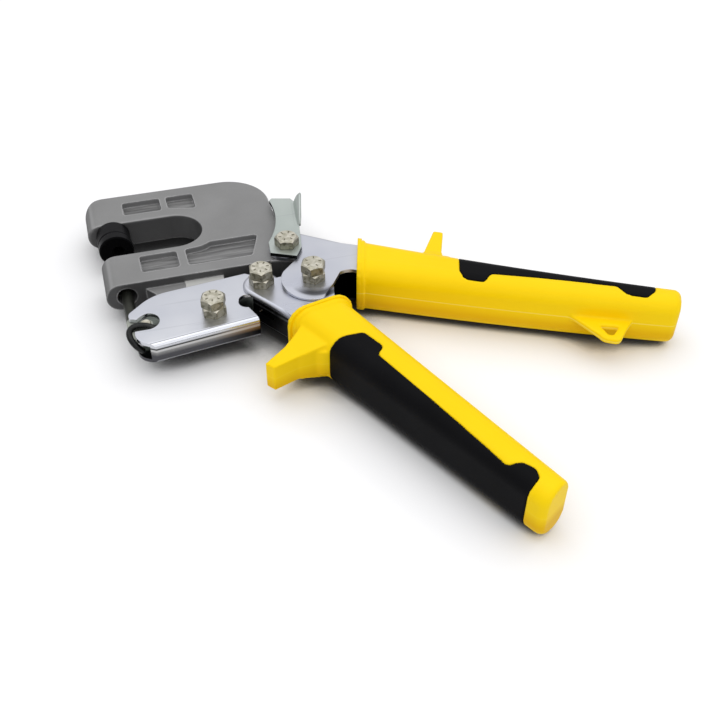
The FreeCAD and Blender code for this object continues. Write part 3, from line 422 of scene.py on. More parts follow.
def sheet_skin(lay, pale, deep):
    """Bright zinc on rolled sheet: faint drawn lines, a slow tint and a few scratches."""
    lines = use_group(lay, BRUSHED, Turn=(0.0, 0.0, 0.3), Lines=1100.0)
    skin = use_group(lay, MOTTLE, Patches=26.0, Grain=900.0)
    tint = lay.mix(skin["Slow"], deep, pale)
    scuffed = lay.over(tint, colour(150, 152, 160), lines["Scratches"], 0.14)
    rough = lay.math("ADD", lay.remap(lines["Lines"], 0.0, 1.0, 0.24, 0.32),
                     lay.math("MULTIPLY", skin["Slow"], 0.08))
    height = lay.math("SUBTRACT", lay.math("MULTIPLY", lines["Lines"], 0.25),
                      lay.math("MULTIPLY", lines["Scratches"], 0.5))
    return scuffed, rough, height


def half_high(node):
    """Half the height of a channel across its two faces."""
    low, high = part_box(node)
    return (high[2] - low[2]) / 2


def below_sheet(lay, half):
    """1 below a channel's upper sheet, 0 within its thickness."""
    return lay.remap(lay.level(), MIDDLE + half - SHEET * 1.15, MIDDLE + half - SHEET * 1.5)


def inside_mask(lay):
    """1 on the faces that look up from inside a channel."""
    return lay.all_of(lay.remap(lay.facing()[2], 0.4, 0.7), lay.remap(lay.level(), MIDDLE, MIDDLE - 1.0 * MM))


def lever_fill(lay):
    """The lever: bright flats and bend, a web with a painted reflection that darkens downward and back, a
    painted highlight band and painted dark lines, and painted shade inside.
    """
    half = half_high("lever_channel")
    low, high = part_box("lever_channel")
    flat, rough, height = sheet_skin(lay, colour(220, 222, 227), colour(201, 204, 213))
    along = lay.parts_of(lay.place())[0]
    long = high[0] - low[0]
    # Painted reflection on the web: dark at its foot and toward the back, pale grey turning tan toward the
    # back under the top plate.
    backward = lay.remap(along, low[0] + 0.5 * long, low[0] + 0.82 * long)
    foot = lay.mix(backward, colour(84, 84, 88), colour(10, 10, 11))
    brow = lay.mix(backward, colour(186, 186, 184), colour(186, 142, 84))
    web = lay.mix(lay.remap(lay.level(), MIDDLE - 0.25 * half, MIDDLE + 0.45 * half), foot, brow)
    # Painted highlight band across the web, and a painted dark line under the top plate toward the front.
    gleam = lay.near(lay.level(), MIDDLE + 0.3 * half, 0.3 * MM, 0.9 * MM)
    web = lay.over(web, colour(230, 230, 230), gleam, 0.6)
    line = lay.all_of(lay.near(lay.level(), MIDDLE + 0.5 * half, 0.4 * MM, 0.8 * MM),
                      lay.math("SUBTRACT", 1.0, backward))
    lined = lay.over(web, colour(22, 22, 23), line, 0.9)
    walls = lay.all_of(walls_mask(lay, 0.2, 0.6), below_sheet(lay, half))
    facing = lay.facing()
    # Painted dark line where the top plate starts to bend.
    bend_start = lay.all_of(lay.near(facing[2], 0.965, 0.012, 0.028), lay.remap(facing[1], 0.0, -0.1))
    painted_bend_line = lay.over(flat, colour(70, 71, 76), bend_start, 0.7)
    tint = lay.mix(walls, painted_bend_line, lined)
    back = lay.parts_of(lay.place())[1]
    # Painted shade inside the channel, away from the notch, where its floor keeps a greenish grey.
    mouth = lay.remap(back, LEVER_PIVOT.y - 6.0 * MM, LEVER_PIVOT.y - 8.0 * MM)
    inside = lay.mix(mouth, colour(128, 134, 128), colour(20, 20, 20))
    dark = lay.mix(inside_mask(lay), tint, inside)
    smooth = lay.math("SUBTRACT", rough, lay.math("MULTIPLY", walls_mask(lay), 0.1))
    return {"Base Color": dark, "Roughness": smooth}, height, 0.1, 0.03 * MM


def handle_fill(node):
    """The finish of a handle's channel: bright flats, painted shade on the sloped rim and in a crescent by
    the hand pivot, webs darkened by painted reflection with a painted highlight streak, and painted shade
    inside.
    """
    def fill(lay):
        half = half_high(node)
        flat, rough, height = sheet_skin(lay, colour(218, 220, 226), colour(199, 202, 213))
        # Painted shade on the gently sloped faces of the rim.
        level = lay.math("ABSOLUTE", lay.facing()[2])
        rim_slope_shade = lay.all_of(lay.remap(level, 0.9995, 0.998), lay.remap(level, 0.96, 0.98))
        painted_rim_tone = lay.over(flat, colour(138, 139, 146), rim_slope_shade, 0.25)
        # Painted shade in a crescent in front of the hand pivot.
        place = lay.parts_of(lay.place())
        right = lay.math("SUBTRACT", place[0], HAND_PIVOT.x + 1.0 * MM)
        back = lay.math("SUBTRACT", place[1], HAND_PIVOT.y)
        reach = lay.math("POWER", lay.math("ADD", lay.math("MULTIPLY", right, right),
                                           lay.math("MULTIPLY", back, back)), 0.5)
        dished = lay.all_of(lay.remap(reach, 8.6 * MM, 10.4 * MM), lay.remap(reach, 13.2 * MM, 12.0 * MM))
        crescent = lay.all_of(dished, lay.remap(back, -4.0 * MM, -9.0 * MM))
        painted_rim_tone = lay.over(painted_rim_tone, colour(64, 65, 70), crescent, 0.85)
        walls = lay.all_of(walls_mask(lay, 0.25, 0.7), below_sheet(lay, half))
        # Painted reflection: the webs are near black in patches, with a painted highlight streak along them.
        web_reflection_patches = lay.noise(lay.place(), 160.0, 3.0, 0.5)
        web = lay.mix(lay.remap(web_reflection_patches, 0.35, 0.7), colour(18, 18, 20), colour(58, 58, 62))
        painted_streak_highlight = lay.all_of(lay.near(lay.level(), MIDDLE + 0.42 * half, 0.2 * MM, 0.9 * MM),
                            lay.remap(lay.noise(lay.place(), 90.0, 2.0, 0.5), 0.34, 0.5))
        web = lay.over(web, colour(196, 198, 204), painted_streak_highlight, 0.8)
        tint = lay.mix(walls, painted_rim_tone, web)
        # Painted shade on the faces inside the channel.
        dark = lay.mix(inside_mask(lay), tint, colour(24, 24, 24))
        return {"Base Color": dark, "Roughness": rough}, height, 0.1, 0.03 * MM
    return fill


def latch_fill(lay):
    """The latch: passivated zinc with a faint green cast, and painted shade on its cut edges."""
    flat, rough, height = sheet_skin(lay, colour(198, 205, 200), colour(176, 186, 181))
    # Painted shade on the plate's upright cut edges.
    cut = lay.all_of(walls_mask(lay, 0.2, 0.5), lay.remap(lay.level(), LATCH_FACE, LATCH_FACE - 0.2 * MM))
    edged = lay.mix(cut, flat, colour(34, 36, 35))
    duller = lay.math("ADD", rough, 0.12)
    return {"Base Color": edged, "Roughness": duller}, height, 0.1, 0.03 * MM


def bolt_fill(lay):
    """Yellow-grey zinc plate, brighter where a spanner rubs, its sides darkened by painted shade, with darker
    patches and darker edges there.
    """
    skin = use_group(lay, MOTTLE, Patches=420.0, Grain=2600.0)
    edge = use_group(lay, EDGES, Width=0.6 * MM, Patches=500.0, Share=0.6)
    tint = lay.mix(skin["Slow"], colour(172, 168, 148), colour(222, 218, 204))
    # Painted shade: the upright sides are darker than the top.
    walls = lay.over(tint, colour(128, 124, 104), walls_mask(lay), 0.7)
    upright = walls_mask(lay)
    # Darker patches and darker edges on the upright sides.
    side_patches = lay.remap(lay.noise(lay.place(), 520.0, 2.0, 0.5), 0.5, 0.6)
    side_patched = lay.over(walls, colour(82, 78, 60), lay.all_of(side_patches, upright), 0.6)
    side_edges_darkened = lay.over(side_patched, colour(50, 47, 36), lay.all_of(edge["Mask"], upright), 0.9)
    top_edge = lay.all_of(edge["Mask"], lay.math("SUBTRACT", 1.0, upright))
    edges_worn_and_lit = lay.over(side_edges_darkened, colour(242, 241, 232), top_edge, 0.5)
    rough = lay.remap(skin["Fine"], 0.0, 1.0, 0.28, 0.44)
    return {"Base Color": edges_worn_and_lit, "Roughness": rough}, skin["Height"], 0.4, 0.08 * MM


def stamped_fill(lay):
    """The darker marks round a bolt head's rim."""
    skin = use_group(lay, MOTTLE, Patches=420.0, Grain=2600.0)
    tint = lay.mix(skin["Slow"], colour(84, 80, 64), colour(140, 136, 116))
    rough = lay.remap(skin["Fine"], 0.0, 1.0, 0.4, 0.6)
    return {"Base Color": tint, "Roughness": rough}, skin["Height"], 0.2, 0.04 * MM


def black_fill(lay):
    """Black oxide with rubbed edges."""
    skin = use_group(lay, MOTTLE, Patches=90.0, Grain=2200.0)
    edge = use_group(lay, EDGES, Width=0.5 * MM, Patches=400.0, Share=0.2)
    tint = lay.mix(skin["Slow"], colour(20, 20, 21), colour(30, 30, 32))
    edges_worn_and_lit = lay.over(tint, colour(80, 80, 82), edge["Mask"], 0.25)
    rough = lay.remap(skin["Fine"], 0.0, 1.0, 0.34, 0.5)
    return {"Base Color": edges_worn_and_lit, "Roughness": rough}, skin["Height"], 0.2, 0.04 * MM


def die_fill(lay):
    """The die: black oxide, with painted shade making its working end near black."""
    linked, height, strength, depth = black_fill(lay)
    # Painted shade: the end face toward the front is made near black and duller.
    end = lay.remap(lay.facing()[1], -0.3, -0.8)
    linked["Base Color"] = lay.mix(end, linked["Base Color"], colour(5, 5, 6))
    linked["Roughness"] = lay.math("ADD", linked["Roughness"], lay.math("MULTIPLY", end, 0.4))
    return linked, height, strength, depth


def rod_fill(lay):
    """The punch: dark oily tool steel with turning marks round its axis."""
    skin = use_group(lay, MOTTLE, Patches=120.0, Grain=2000.0)
    turned = lay.noise(lay.place(), 1500.0, 2.0, 0.5, stretch=(0.02, 1.0, 0.02))
    tint = lay.mix(skin["Slow"], colour(46, 47, 42), colour(68, 69, 62))
    foot_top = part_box("punch_rod")[0][1] + FOOT_LONG
    foot = lay.remap(lay.parts_of(lay.place())[1], foot_top, foot_top - 0.5 * MM)
    tint = lay.mix(foot, tint, colour(168, 172, 162))
    rough = lay.remap(turned, 0.3, 0.7, 0.3, 0.46)
    return {"Base Color": tint, "Roughness": rough}, turned, 0.2, 0.03 * MM


def spring_fill(lay):
    """Oiled spring wire."""
    skin = use_group(lay, MOTTLE, Patches=140.0, Grain=2600.0)
    tint = lay.mix(skin["Slow"], colour(34, 35, 35), colour(58, 59, 58))
    rough = lay.remap(skin["Fine"], 0.0, 1.0, 0.22, 0.36)
    return {"Base Color": tint, "Roughness": rough}, skin["Height"], 0.15, 0.03 * MM


def yellow_fill(parting_highlight):
    """Moulded yellow plastic: edges lightened by painted highlight, lower sides darkened by painted shade,
    and a raised parting line where its mould halves meet, with a painted highlight on it as strong as is
    asked.
    """
    def fill(lay):
        skin = use_group(lay, MOTTLE, Patches=22.0, Grain=1800.0)
        edge = use_group(lay, EDGES, Width=1.2 * MM, Patches=200.0, Share=0.2)
        base = lay.mix(skin["Slow"], colour(253, 212, 4), colour(255, 217, 10))
        # Painted highlight along the edges.
        edges_worn_and_lit = lay.over(base, colour(255, 226, 70), edge["Mask"], 0.25)
        # Painted shade on the lower sides.
        lower = lay.all_of(lay.remap(lay.level(), MIDDLE, MIDDLE - 5.0 * MM), walls_mask(lay, 0.2, 0.6))
        edges_worn_and_lit = lay.over(edges_worn_and_lit, colour(228, 174, 0), lower, 0.7)
        # Painted highlight on the parting line, with a raised bump along it.
        line = lay.all_of(lay.near(lay.level(), MIDDLE, 0.12 * MM, 0.35 * MM), walls_mask(lay, 0.2, 0.5))
        with_parting_highlight = lay.over(edges_worn_and_lit, colour(255, 232, 110), line, parting_highlight)
        rough = lay.remap(skin["Fine"], 0.0, 1.0, 0.34, 0.44)
        height = lay.math("ADD", skin["Height"], lay.math("MULTIPLY", line, parting_highlight * 10.0))
        return {"Base Color": with_parting_highlight, "Roughness": rough}, height, 0.1, 0.03 * MM
    return fill


def rubber_fill(lay):
    """Soft black overmould with a fine grain and a painted highlight along its edges."""
    skin = use_group(lay, MOTTLE, Patches=40.0, Grain=3200.0)
    edge = use_group(lay, EDGES, Width=0.8 * MM, Patches=300.0, Share=0.2)
    base = lay.mix(skin["Slow"], colour(9, 9, 11), colour(15, 15, 17))
    # Painted highlight along the edges.
    edges_worn_and_lit = lay.over(base, colour(46, 46, 49), edge["Mask"], 0.3)
    rough = lay.remap(skin["Fine"], 0.0, 1.0, 0.42, 0.58)
    return {"Base Color": edges_worn_and_lit, "Roughness": rough}, skin["Height"], 0.5, 0.06 * MM


FINISHES = {
    "casting": finish_of("grey_casting", casting_fill, soft=0.6 * MM, Metallic=0.15),
    "lever_sheet": finish_of("lever_sheet", lever_fill, soft=0.3 * MM, Metallic=1.0),
    "lower_sheet": finish_of("lower_sheet", handle_fill("lower_channel"), soft=0.3 * MM, Metallic=1.0),
    "upper_sheet": finish_of("upper_sheet", handle_fill("upper_channel"), soft=0.3 * MM, Metallic=1.0),
    "latch_sheet": finish_of("latch_sheet", latch_fill, soft=0.3 * MM, Metallic=0.9),
    "plated_bolts": finish_of("plated_bolts", bolt_fill, soft=0.3 * MM, Metallic=0.8),
    "stamped_marks": finish_of("stamped_marks", stamped_fill, Metallic=0.6),
    "black_steel": finish_of("black_steel", black_fill, soft=0.4 * MM, Metallic=0.5),
    "die_painted_dark_end": finish_of("die_painted_dark_end", die_fill, soft=0.6 * MM, Metallic=0.6, Specular_IOR_Level=0.1),
    "tool_steel": finish_of("tool_steel", rod_fill, soft=0.3 * MM, Metallic=0.8),
    "spring_wire": finish_of("spring_wire", spring_fill, Metallic=0.9),
    "upper_yellow": finish_of("upper_yellow", yellow_fill(0.6), Specular_IOR_Level=0.1),
    "lower_yellow": finish_of("lower_yellow", yellow_fill(0.1), Specular_IOR_Level=0.1),
    "black_rubber": finish_of("black_rubber", rubber_fill, Specular_IOR_Level=0.06),
}

# ---------------------------------------------------------------- finishes on the solids

BOLT_SETS = [pivot + part for pivot in ("lever", "link", "hand") for part in ("_bolt", "_collar", "_nut")]
WORN_BY = {
    "casting": ["c_frame"],
    "die_painted_dark_end": ["die_button"],
    "black_steel": ["punch_guide"],
    "tool_steel": ["punch_rod"],
    "lever_sheet": ["lever_channel"],
    "lower_sheet": ["lower_channel"],
    "upper_sheet": ["upper_channel"],
    "latch_sheet": ["latch_plate"],
    "plated_bolts": ["punch_pin", "frame_bolt", "frame_nut"] + BOLT_SETS,
    "spring_wire": ["return_spring"],
    "upper_yellow": ["upper_grip"],
    "lower_yellow": ["lower_grip"],
    "black_rubber": ["upper_insert", "lower_insert"],
}


def dress(node, material):
    """Gives a solid its finish."""
    data = nodes[node].data
    data.materials.clear()
    data.materials.append(material)


for finish, names in WORN_BY.items():
    for name in names:
        dress(name, FINISHES[finish])

# ---------------------------------------------------------------- making pieces


def mesh_of(shape, name):
    """Turns a working shape into a mesh and lets the shape go."""
    mesh = bpy.data.meshes.new(name)
    shape.to_mesh(mesh)
    shape.free()
    return mesh


def trimmed(shape, place, way):
    """Cuts off what lies past a plane and closes the cut."""
    cut = bmesh.ops.bisect_plane(shape, geom=shape.verts[:] + shape.edges[:] + shape.faces[:],
                                 plane_co=place, plane_no=way, clear_outer=True)
    rim = [edge for edge in cut["geom_cut"] if isinstance(edge, bmesh.types.BMEdge)]
    bmesh.ops.holes_fill(shape, edges=rim)


def round_about(sides):
    """Cosine and sine at even steps of one turn."""
    turns = [2 * math.pi * step / sides for step in range(sides)]
    return [(math.cos(turn), math.sin(turn)) for turn in turns]


def lofted(name, rings):
    """A closed mesh through rings of places, with an end on the first and on the last."""
    shape = bmesh.new()
    loops = [[shape.verts.new(place) for place in ring] for ring in rings]
    for before, after in zip(loops, loops[1:]):
        for step in range(len(before)):
            ahead = (step + 1) % len(before)
            shape.faces.new((before[step], before[ahead], after[ahead], after[step]))
    shape.faces.new(loops[0])
    shape.faces.new(loops[-1])
    bmesh.ops.remove_doubles(shape, verts=shape.verts, dist=SAME_PLACE)
    bmesh.ops.recalc_face_normals(shape, faces=shape.faces)
    return mesh_of(shape, name)


def object_of(name, data):
    """Puts a mesh, a curve or a lamp into the scene as an object."""
    made = bpy.data.objects.new(name, data)
    bpy.context.scene.collection.objects.link(made)
    return made


def settled(thing):
    """Works out an object's modifiers into a plain mesh and takes them off."""
    graph = bpy.context.evaluated_depsgraph_get()
    mesh = bpy.data.meshes.new_from_object(thing.evaluated_get(graph))
    mesh.name = thing.name
    thing.modifiers.clear()
    thing.data = mesh


def finished(thing, finish, body, stands_for=None):
    """Gives a made piece its finish and the body that it rides on."""
    thing.data.materials.clear()
    thing.data.materials.append(FINISHES[finish])
    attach(thing, body)
    if stands_for:
        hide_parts(stands_for)


# ---------------------------------------------------------------- grips


class GripAxis:
    """Long axis of a grip, from the lever pivot: places on it go forward, outward and up."""

    def __init__(self, right, back, fall, side):
        self.start = Vector((LEVER_PIVOT.x + right * MM, LEVER_PIVOT.y + back * MM, MIDDLE))
        turn = math.radians(-fall)
        self.along = Vector((math.cos(turn), math.sin(turn), 0.0))
        self.out = Vector((-math.sin(turn), math.cos(turn), 0.0)) * side

    def at(self, forward, outward, up):
        return self.start + (self.along * forward + self.out * outward + Vector((0.0, 0.0, up))) * MM


# Blocks on a grip's axis in millimetres: (outward, first, last, half height) of the wide and the narrow end.
FIN_ROOT = ((3.0, 25.0, 39.5, 11.0), (15.5, 28.4, 36.6, 8.0))
GUARD_ROOT = ((3.0, 0.5, 23.0, 11.0), (14.5, 3.6, 19.5, 8.6))
GUARD_NECK = ((13.5, 3.6, 19.8, 8.8), (24.0, 7.2, 16.2, 6.5))
# Forward and reach of the rib over the upper tang's corners, and the lower grip's tail.
TANG_CORNERS = ((22.0, 14.2), (27.0, 14.3), (40.4, 14.3), (44.5, 12.9))
TAIL_AT = 136.4
TAIL_LEAN = 0.14
# Finest detail that a moulding keeps.
GRIP_GRAIN, LIP_GRAIN, INSERT_GRAIN = 0.52 * MM, 0.4 * MM, 0.45 * MM

UPPER_AXIS = GripAxis(right=71.5, back=15.8, fall=29.0, side=1)
LOWER_AXIS = GripAxis(right=43.4, back=-16.0, fall=65.8, side=-1)


def hull_of(shape, corners):
    """Adds the closed convex block round some corners."""
    bmesh.ops.convex_hull(shape, input=[shape.verts.new(corner) for corner in corners])


def root_block(axis, wide_end, narrow_end):
    """Tapered block between two rectangles: (outward, first, last, half height) each."""
    def add(shape):
        corners = []
        for outward, first, last, half in (wide_end, narrow_end):
            corners += [axis.at(forward, outward, up) for forward in (first, last) for up in (-half, half)]
        hull_of(shape, corners)
    return add


def corner_pad(axis, stations):
    """Soft rib along a grip's outward corners, over the tang inside: (forward, reach) at each station."""
    round_corner = ((24, 0.80), (36, 0.975), (42, 1.0), (47, 0.995), (62, 0.88))
    root_out, root_up = 4.0, 3.0

    def add(shape):
        for up in (1, -1):
            corners = []
            for forward, reach in stations:
                corners.append(axis.at(forward, root_out, up * root_up))
                for angle, share in round_corner:
                    turn = math.radians(angle)
                    corners.append(axis.at(forward, reach * share * math.cos(turn),
                                           up * reach * share * math.sin(turn)))
            hull_of(shape, corners)
    return add


def rim_lip(axis, front, middle, half_wide, long, half_thick):
    """Raised lip round the mouth of a grip, leaning forward as the mouth does."""
    lean, corner, wall, bottom, steps = 0.2, 8.8, 3.0, 14.0, 4
    lift = half_thick - bottom

    def loop(inset):
        radius = corner - inset
        places = []
        for quarter, (side, up) in enumerate(((1, 1), (-1, 1), (-1, -1), (1, -1))):
            for step in range(steps + 1):
                angle = math.pi / 2 * (quarter + step / steps)
                places.append((middle + side * (half_wide - corner) + radius * math.cos(angle),
                               lift + up * (half_thick - corner) + radius * math.sin(angle)))
        return places

    def add(shape):
        outer, inner = loop(0.0), loop(wall)
        for step in range(len(outer)):
            ahead = (step + 1) % len(outer)
            corners = []
            for outward, up in (outer[step], outer[ahead], inner[step], inner[ahead]):
                mouth = front - lean * outward
                corners += [axis.at(mouth, outward, up), axis.at(mouth + long, outward, up)]
            hull_of(shape, corners)
    return add


def moulded(node, body, finish, grain, rounds, extras=(), lip=False, tail_cut=None):
    """A moulding: the solid, unless it is a lip, grown together with its extra blocks, its edges eased."""
    shape = bmesh.new() if lip else merged_copy(node)
    if tail_cut:
        trimmed(shape, *tail_cut)
    for add in extras:
        extra = bmesh.new()
        add(extra)
        bmesh.ops.recalc_face_normals(extra, faces=extra.faces)
        shape.from_mesh(mesh_of(extra, "extra"))
    thing = object_of(node + "_moulded", mesh_of(shape, node + "_moulded"))
    grown = thing.modifiers.new("grown", "REMESH")
    grown.mode = "VOXEL"
    grown.voxel_size = grain
    eased = thing.modifiers.new("eased", "SMOOTH")
    eased.factor = 0.5
    eased.iterations = rounds
    settled(thing)
    thing.data.shade_smooth()
    finished(thing, finish, body, None if lip else node)


moulded("upper_grip", "upper_handle", "upper_yellow", GRIP_GRAIN, 6,
        [root_block(UPPER_AXIS, *FIN_ROOT), corner_pad(UPPER_AXIS, TANG_CORNERS)])
moulded("lower_grip", "lower_handle", "lower_yellow", GRIP_GRAIN, 6,
        [root_block(LOWER_AXIS, *GUARD_ROOT), root_block(LOWER_AXIS, *GUARD_NECK)],
        tail_cut=(LOWER_AXIS.at(TAIL_AT, 0.0, 0.0), LOWER_AXIS.along - LOWER_AXIS.out * TAIL_LEAN))
upper_rim = rim_lip(UPPER_AXIS, front=-1.2, middle=0.6, half_wide=15.0, long=2.0, half_thick=14.1)
lower_rim = rim_lip(LOWER_AXIS, front=0.0, middle=0.0, half_wide=15.3, long=1.8, half_thick=14.35)
moulded("upper_lip", "upper_handle", "upper_yellow", LIP_GRAIN, 2, [upper_rim], lip=True)
moulded("lower_lip", "lower_handle", "lower_yellow", LIP_GRAIN, 2, [lower_rim], lip=True)
moulded("upper_insert", "upper_handle", "black_rubber", INSERT_GRAIN, 3)
moulded("lower_insert", "lower_handle", "black_rubber", INSERT_GRAIN, 3)

# ---------------------------------------------------------------- return spring


def spring_hook():
    """The spring's thick wire, hooked over the lever's lower lip."""
    route = [(-25.2, -4.0, 3.0), (-26.8, -2.0, 4.2), (-31.8, 0.9, 4.8), (-37.2, -0.4, 4.8),
             (-38.2, -5.4, 4.4), (-36.6, -9.2, 2.6), (-34.8, -10.0, 0.4), (-33.4, -9.4, -1.6)]
    data = bpy.data.curves.new("spring_hook", "CURVE")
    data.dimensions = "3D"
    data.bevel_depth = WIRE_THICK / 2
    data.bevel_resolution = 6
    data.resolution_u = 8
    data.use_fill_caps = True
    line = data.splines.new("NURBS")
    line.points.add(len(route) - 1)
    for point, (right, back, up) in zip(line.points, route):
        point.co = (LEVER_PIVOT.x + right * MM, LEVER_PIVOT.y + back * MM, MIDDLE + up * MM, 1.0)
    line.order_u = 4
    line.use_endpoint_u = True
    wire = object_of("spring_wire", data)
    graph = bpy.context.evaluated_depsgraph_get()
    mesh = bpy.data.meshes.new_from_object(wire.evaluated_get(graph))
    bpy.data.objects.remove(wire)
    mesh.shade_smooth()
    finished(object_of("spring_hook", mesh), "spring_wire", "lever", "return_spring")


spring_hook()

# ---------------------------------------------------------------- die


def die():
    """The die: a thick black boss whose outer face stands toward the nose, bored for the punch."""
    low, high = (Vector(corner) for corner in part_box("die_button"))
    axis = (low + high) / 2
    sides, point, bore, wide, long = 64, 0.01, 2.8, 8.3, 14.2
    root = low.y + long * MM
    rings = [(point, 0.0, 0.0), (wide - 0.1, 0.0, -1.4), (wide - 0.1, 8.4, -1.3), (wide - 0.4, 9.0, -1.2),
             (wide, 9.6, -1.1), (wide, long - 0.6, -1.0), (wide - 0.6, long, -1.0),
             (bore + 0.5, long, 0.0), (bore, long - 0.4, 0.0), (bore, 8.0, 0.0), (point, 7.2, 0.0)]
    loops = [[(axis.x + (aside + radius * right) * MM, root - fall * MM, axis.z + radius * up * MM)
              for right, up in round_about(sides)] for radius, fall, aside in rings]
    finished(object_of("die", lofted("die", loops)), "die_painted_dark_end", "frame", "die_button")


die()

# ---------------------------------------------------------------- hexagons


def turned_corners(node, body, top=True):
    """A hexagon with its corners turned off round, as heads and nuts are."""
    low, high = (Vector(corner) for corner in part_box(node))
    middle = (low + high) / 2
    sides = 48
    outer, corner, face, drop = 8.0 * MM, 5.85 * MM, 4.45 * MM, 1.1 * MM
    end, start = (high.z, low.z) if top else (low.z, high.z)
    toward = 1 if top else -1
    rings = [(outer, start - toward * MM), (outer, end - toward * drop * 1.01),
             (corner, end - toward * drop), (face, end)]
    loops = [[(middle.x + radius * right, middle.y + radius * back, level)
              for right, back in round_about(sides)] for radius, level in rings]
    cutter = object_of(node + "_cutter", lofted(node + "_cutter", loops))
    thing = object_of(node + "_turned", mesh_of(merged_copy(node), node + "_turned"))
    cut = thing.modifiers.new("cut", "BOOLEAN")
    cut.operation = "INTERSECT"
    cut.solver = "EXACT"
    cut.object = cutter
    settled(thing)
    bpy.data.objects.remove(cutter)
    finished(thing, "plated_bolts", body, node)


BODY_OF = {"lever": "lever", "link": "lower_handle", "hand": "upper_handle", "frame": "upper_handle"}
for pivot, body in BODY_OF.items():
    turned_corners(pivot + "_bolt", body)
    turned_corners(pivot + "_nut", body, top=False)
    if pivot != "frame":
        turned_corners(pivot + "_collar", body)


def head_marks_tree():
    """Geometry nodes for the short raised bars round the rim of a bolt head."""
    tree = bpy.data.node_groups.new("head_marks", "GeometryNodeTree")
    tree.interface.new_socket("Geometry", in_out="OUTPUT", socket_type="NodeSocketGeometry")
    for label, kind in (("Count", "Int"), ("Ring", "Float"), ("Bar", "Vector"), ("Finish", "Material")):
        tree.interface.new_socket(label, in_out="INPUT", socket_type="NodeSocket" + kind)
    lay = Tree(tree)
    given = {socket.name: socket for socket in lay.node("NodeGroupInput").outputs}
    ring = lay.node("GeometryNodeMeshCircle")
    lay.put(ring.inputs["Vertices"], given["Count"])
    lay.put(ring.inputs["Radius"], given["Ring"])
    bar = lay.node("GeometryNodeMeshCube")
    lay.put(bar.inputs["Size"], given["Bar"])
    aim = lay.node("FunctionNodeAlignRotationToVector", axis="X")
    lay.put(aim.inputs["Vector"], lay.node("GeometryNodeInputPosition").outputs[0])
    spread = lay.node("GeometryNodeInstanceOnPoints")
    lay.put(spread.inputs["Points"], ring.outputs[0])
    lay.put(spread.inputs["Instance"], bar.outputs[0])
    lay.put(spread.inputs["Rotation"], aim.outputs[0])
    real = lay.node("GeometryNodeRealizeInstances")
    lay.put(real.inputs[0], spread.outputs[0])
    finish = lay.node("GeometryNodeSetMaterial")
    lay.put(finish.inputs["Geometry"], real.outputs[0])
    lay.put(finish.inputs["Material"], given["Finish"])
    lay.put(lay.node("NodeGroupOutput").inputs[0], finish.outputs[0])
    return tree


HEAD_MARKS = head_marks_tree()


def head_marks(pivot, body, count):
    """A ring of raised bars on a bolt's head."""
    low, high = (Vector(corner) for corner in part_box(pivot + "_bolt"))
    thing = object_of(pivot + "_marks", bpy.data.meshes.new(pivot + "_marks"))
    spread = thing.modifiers.new("spread", "NODES")
    spread.node_group = HEAD_MARKS
    values = {"Count": count, "Ring": 3.2 * MM, "Bar": (1.3 * MM, 0.55 * MM, 0.16 * MM),
              "Finish": FINISHES["stamped_marks"]}
    for item in HEAD_MARKS.interface.items_tree:
        if item.in_out == "INPUT":
            spread[item.identifier] = values[item.name]
    settled(thing)
    centre = (low + high) / 2
    thing.data.transform(Matrix.Translation((centre.x, centre.y, high.z)))
    finished(thing, "stamped_marks", body)


BARS_ON = {"lever": 7, "link": 7, "frame": 6, "hand": 5}
for pivot, count in BARS_ON.items():
    head_marks(pivot, BODY_OF[pivot], count)

# ---------------------------------------------------------------- latch


def latch():
    """The latch: its plate without the plain tab, and a bent ear that curls up along its outer edge."""
    shape = merged_copy("latch_plate")
    trimmed(shape, (0.0, 0.0, LATCH_FACE - 0.02 * MM), (0.0, 0.0, 1.0))
    plate = object_of("latch_cut", mesh_of(shape, "latch_cut"))
    finished(plate, "latch_sheet", "latch", "latch_plate")

    strip, sunk = 3.2 * MM, 0.8 * MM
    near = FRAME_PIVOT + Vector((10.4, 14.0, 0.0)) * MM
    far = FRAME_PIVOT + Vector((13.4, 35.0, 0.0)) * MM
    outward = Vector((far.y - near.y, near.x - far.x, 0.0)).normalized()
    steps, rows = 20, 8
    ear = bmesh.new()
    grid = []
    for step in range(steps + 1):
        share = step / steps
        tall = (3.0 + 5.2 * share) * MM * (1.0 - abs(2.0 * share - 1.0) ** 6) ** 0.5
        base = near.lerp(far, share) - outward * strip
        base.z = LATCH_FACE - sunk
        line = [ear.verts.new(base)]
        for row in range(rows + 1):
            rise = row / rows
            lean = (-1.3 + 1.2 * rise + 2.4 * rise * rise * share) * MM
            spot = near.lerp(far, share) + outward * lean
            spot.z = LATCH_FACE - sunk + tall * math.sin(rise * math.pi * 0.46)
            line.append(ear.verts.new(spot))
        grid.append(line)
    for before, after in zip(grid, grid[1:]):
        for row in range(rows + 1):
            ear.faces.new((before[row], after[row], after[row + 1], before[row + 1]))
    thing = object_of("latch_ear", mesh_of(ear, "latch_ear"))
    wall = thing.modifiers.new("wall", "SOLIDIFY")
    wall.thickness = 1.5 * MM
    wall.offset = 0.0
    rounded = thing.modifiers.new("rounded", "SUBSURF")
    rounded.levels = 1
    rounded.render_levels = 1
    settled(thing)
    thing.data.shade_smooth()
    finished(thing, "latch_sheet", "latch")


latch()

# ---------------------------------------------------------------- floor, world and lamps


SKY = 0.92
FLOOR_GLOW = 0.22
FLOOR_REACH = 3.0


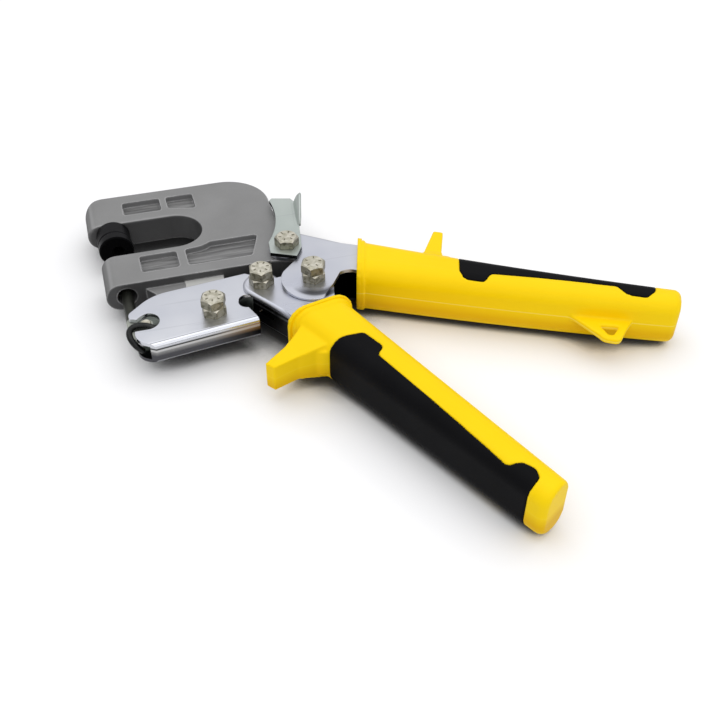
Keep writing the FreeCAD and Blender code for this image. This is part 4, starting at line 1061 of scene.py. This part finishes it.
def floor():
    """Plain pale bench top under the tool, with painted shadow where the tool closes it in."""
    shape = bmesh.new()
    bmesh.ops.create_grid(shape, x_segments=1, y_segments=1, size=FLOOR_REACH)
    top = object_of("floor", mesh_of(shape, "floor"))
    top.location.z = cad_low.z - 0.1 * MM
    material = bpy.data.materials.new("floor")
    lay = bare_tree(material)
    matt = lay.node("ShaderNodeBsdfDiffuse")
    glow = lay.node("ShaderNodeEmission")
    glow.inputs["Color"].default_value = grey(1.0)
    open_sky = lay.node("ShaderNodeAmbientOcclusion", samples=16)
    open_sky.inputs["Distance"].default_value = 0.03
    # Painted shadow: the glow to the eye fades and the colour darkens where the tool closes the floor in.
    glow_under_painted_shadow = lay.math("POWER", open_sky.outputs["AO"], 2.0)
    painted_shade_share = lay.remap(open_sky.outputs["AO"], 0.44, 0.28)
    lay.put(matt.inputs["Color"], lay.mix(painted_shade_share, grey(0.8), grey(0.06)))
    lay.put(glow.inputs["Strength"], lay.math("MULTIPLY", glow_under_painted_shadow, FLOOR_GLOW))
    seen = lay.node("ShaderNodeLightPath")
    both = lay.node("ShaderNodeAddShader")
    lay.put(both.inputs[0], matt.outputs[0])
    lay.put(both.inputs[1], glow.outputs[0])
    choice = lay.node("ShaderNodeMixShader")
    lay.put(choice.inputs[0], seen.outputs["Is Camera Ray"])
    lay.put(choice.inputs[1], matt.outputs[0])
    lay.put(choice.inputs[2], both.outputs[0])
    leave = lay.node("ShaderNodeOutputMaterial")
    lay.put(leave.inputs["Surface"], choice.outputs[0])
    top.data.materials.append(material)


def world():
    """Pale studio all round, brightest overhead, white to the eye."""
    around = bpy.data.worlds.new("studio")
    bpy.context.scene.world = around
    lay = bare_tree(around)
    seen = lay.node("ShaderNodeLightPath")
    up = lay.parts_of(lay.node("ShaderNodeTexCoord").outputs["Generated"])[2]
    lit = lay.mix(lay.remap(up, 0.02, 0.6), (0.36, 0.36, 0.37, 1.0), (0.98, 0.98, 1.0, 1.0))
    air = lay.node("ShaderNodeBackground")
    lay.put(air.inputs["Color"], lit)
    air.inputs["Strength"].default_value = SKY
    plain = lay.node("ShaderNodeBackground")
    plain.inputs["Color"].default_value = grey(1.0)
    plain.inputs["Strength"].default_value = 1.0
    choice = lay.node("ShaderNodeMixShader")
    lay.put(choice.inputs[0], seen.outputs["Is Camera Ray"])
    lay.put(choice.inputs[1], air.outputs[0])
    lay.put(choice.inputs[2], plain.outputs[0])
    leave = lay.node("ShaderNodeOutputWorld")
    lay.put(leave.inputs["Surface"], choice.outputs[0])


def lamp(name, place, size, power):
    """A soft box aimed at the middle of the tool."""
    data = bpy.data.lights.new(name, "AREA")
    data.shape = "RECTANGLE"
    data.size, data.size_y = size
    data.energy = power
    box = object_of(name, data)
    box.location = place
    middle = (cad_low + cad_high) / 2
    box.rotation_euler = (middle - Vector(place)).to_track_quat("-Z", "Y").to_euler()


floor()
world()
lamp("overhead_box", (0.05, 0.1, 1.3), (1.6, 1.4), 5.0)
lamp("front_box", (0.1, -1.2, 0.7), (1.4, 0.7), 1.8)
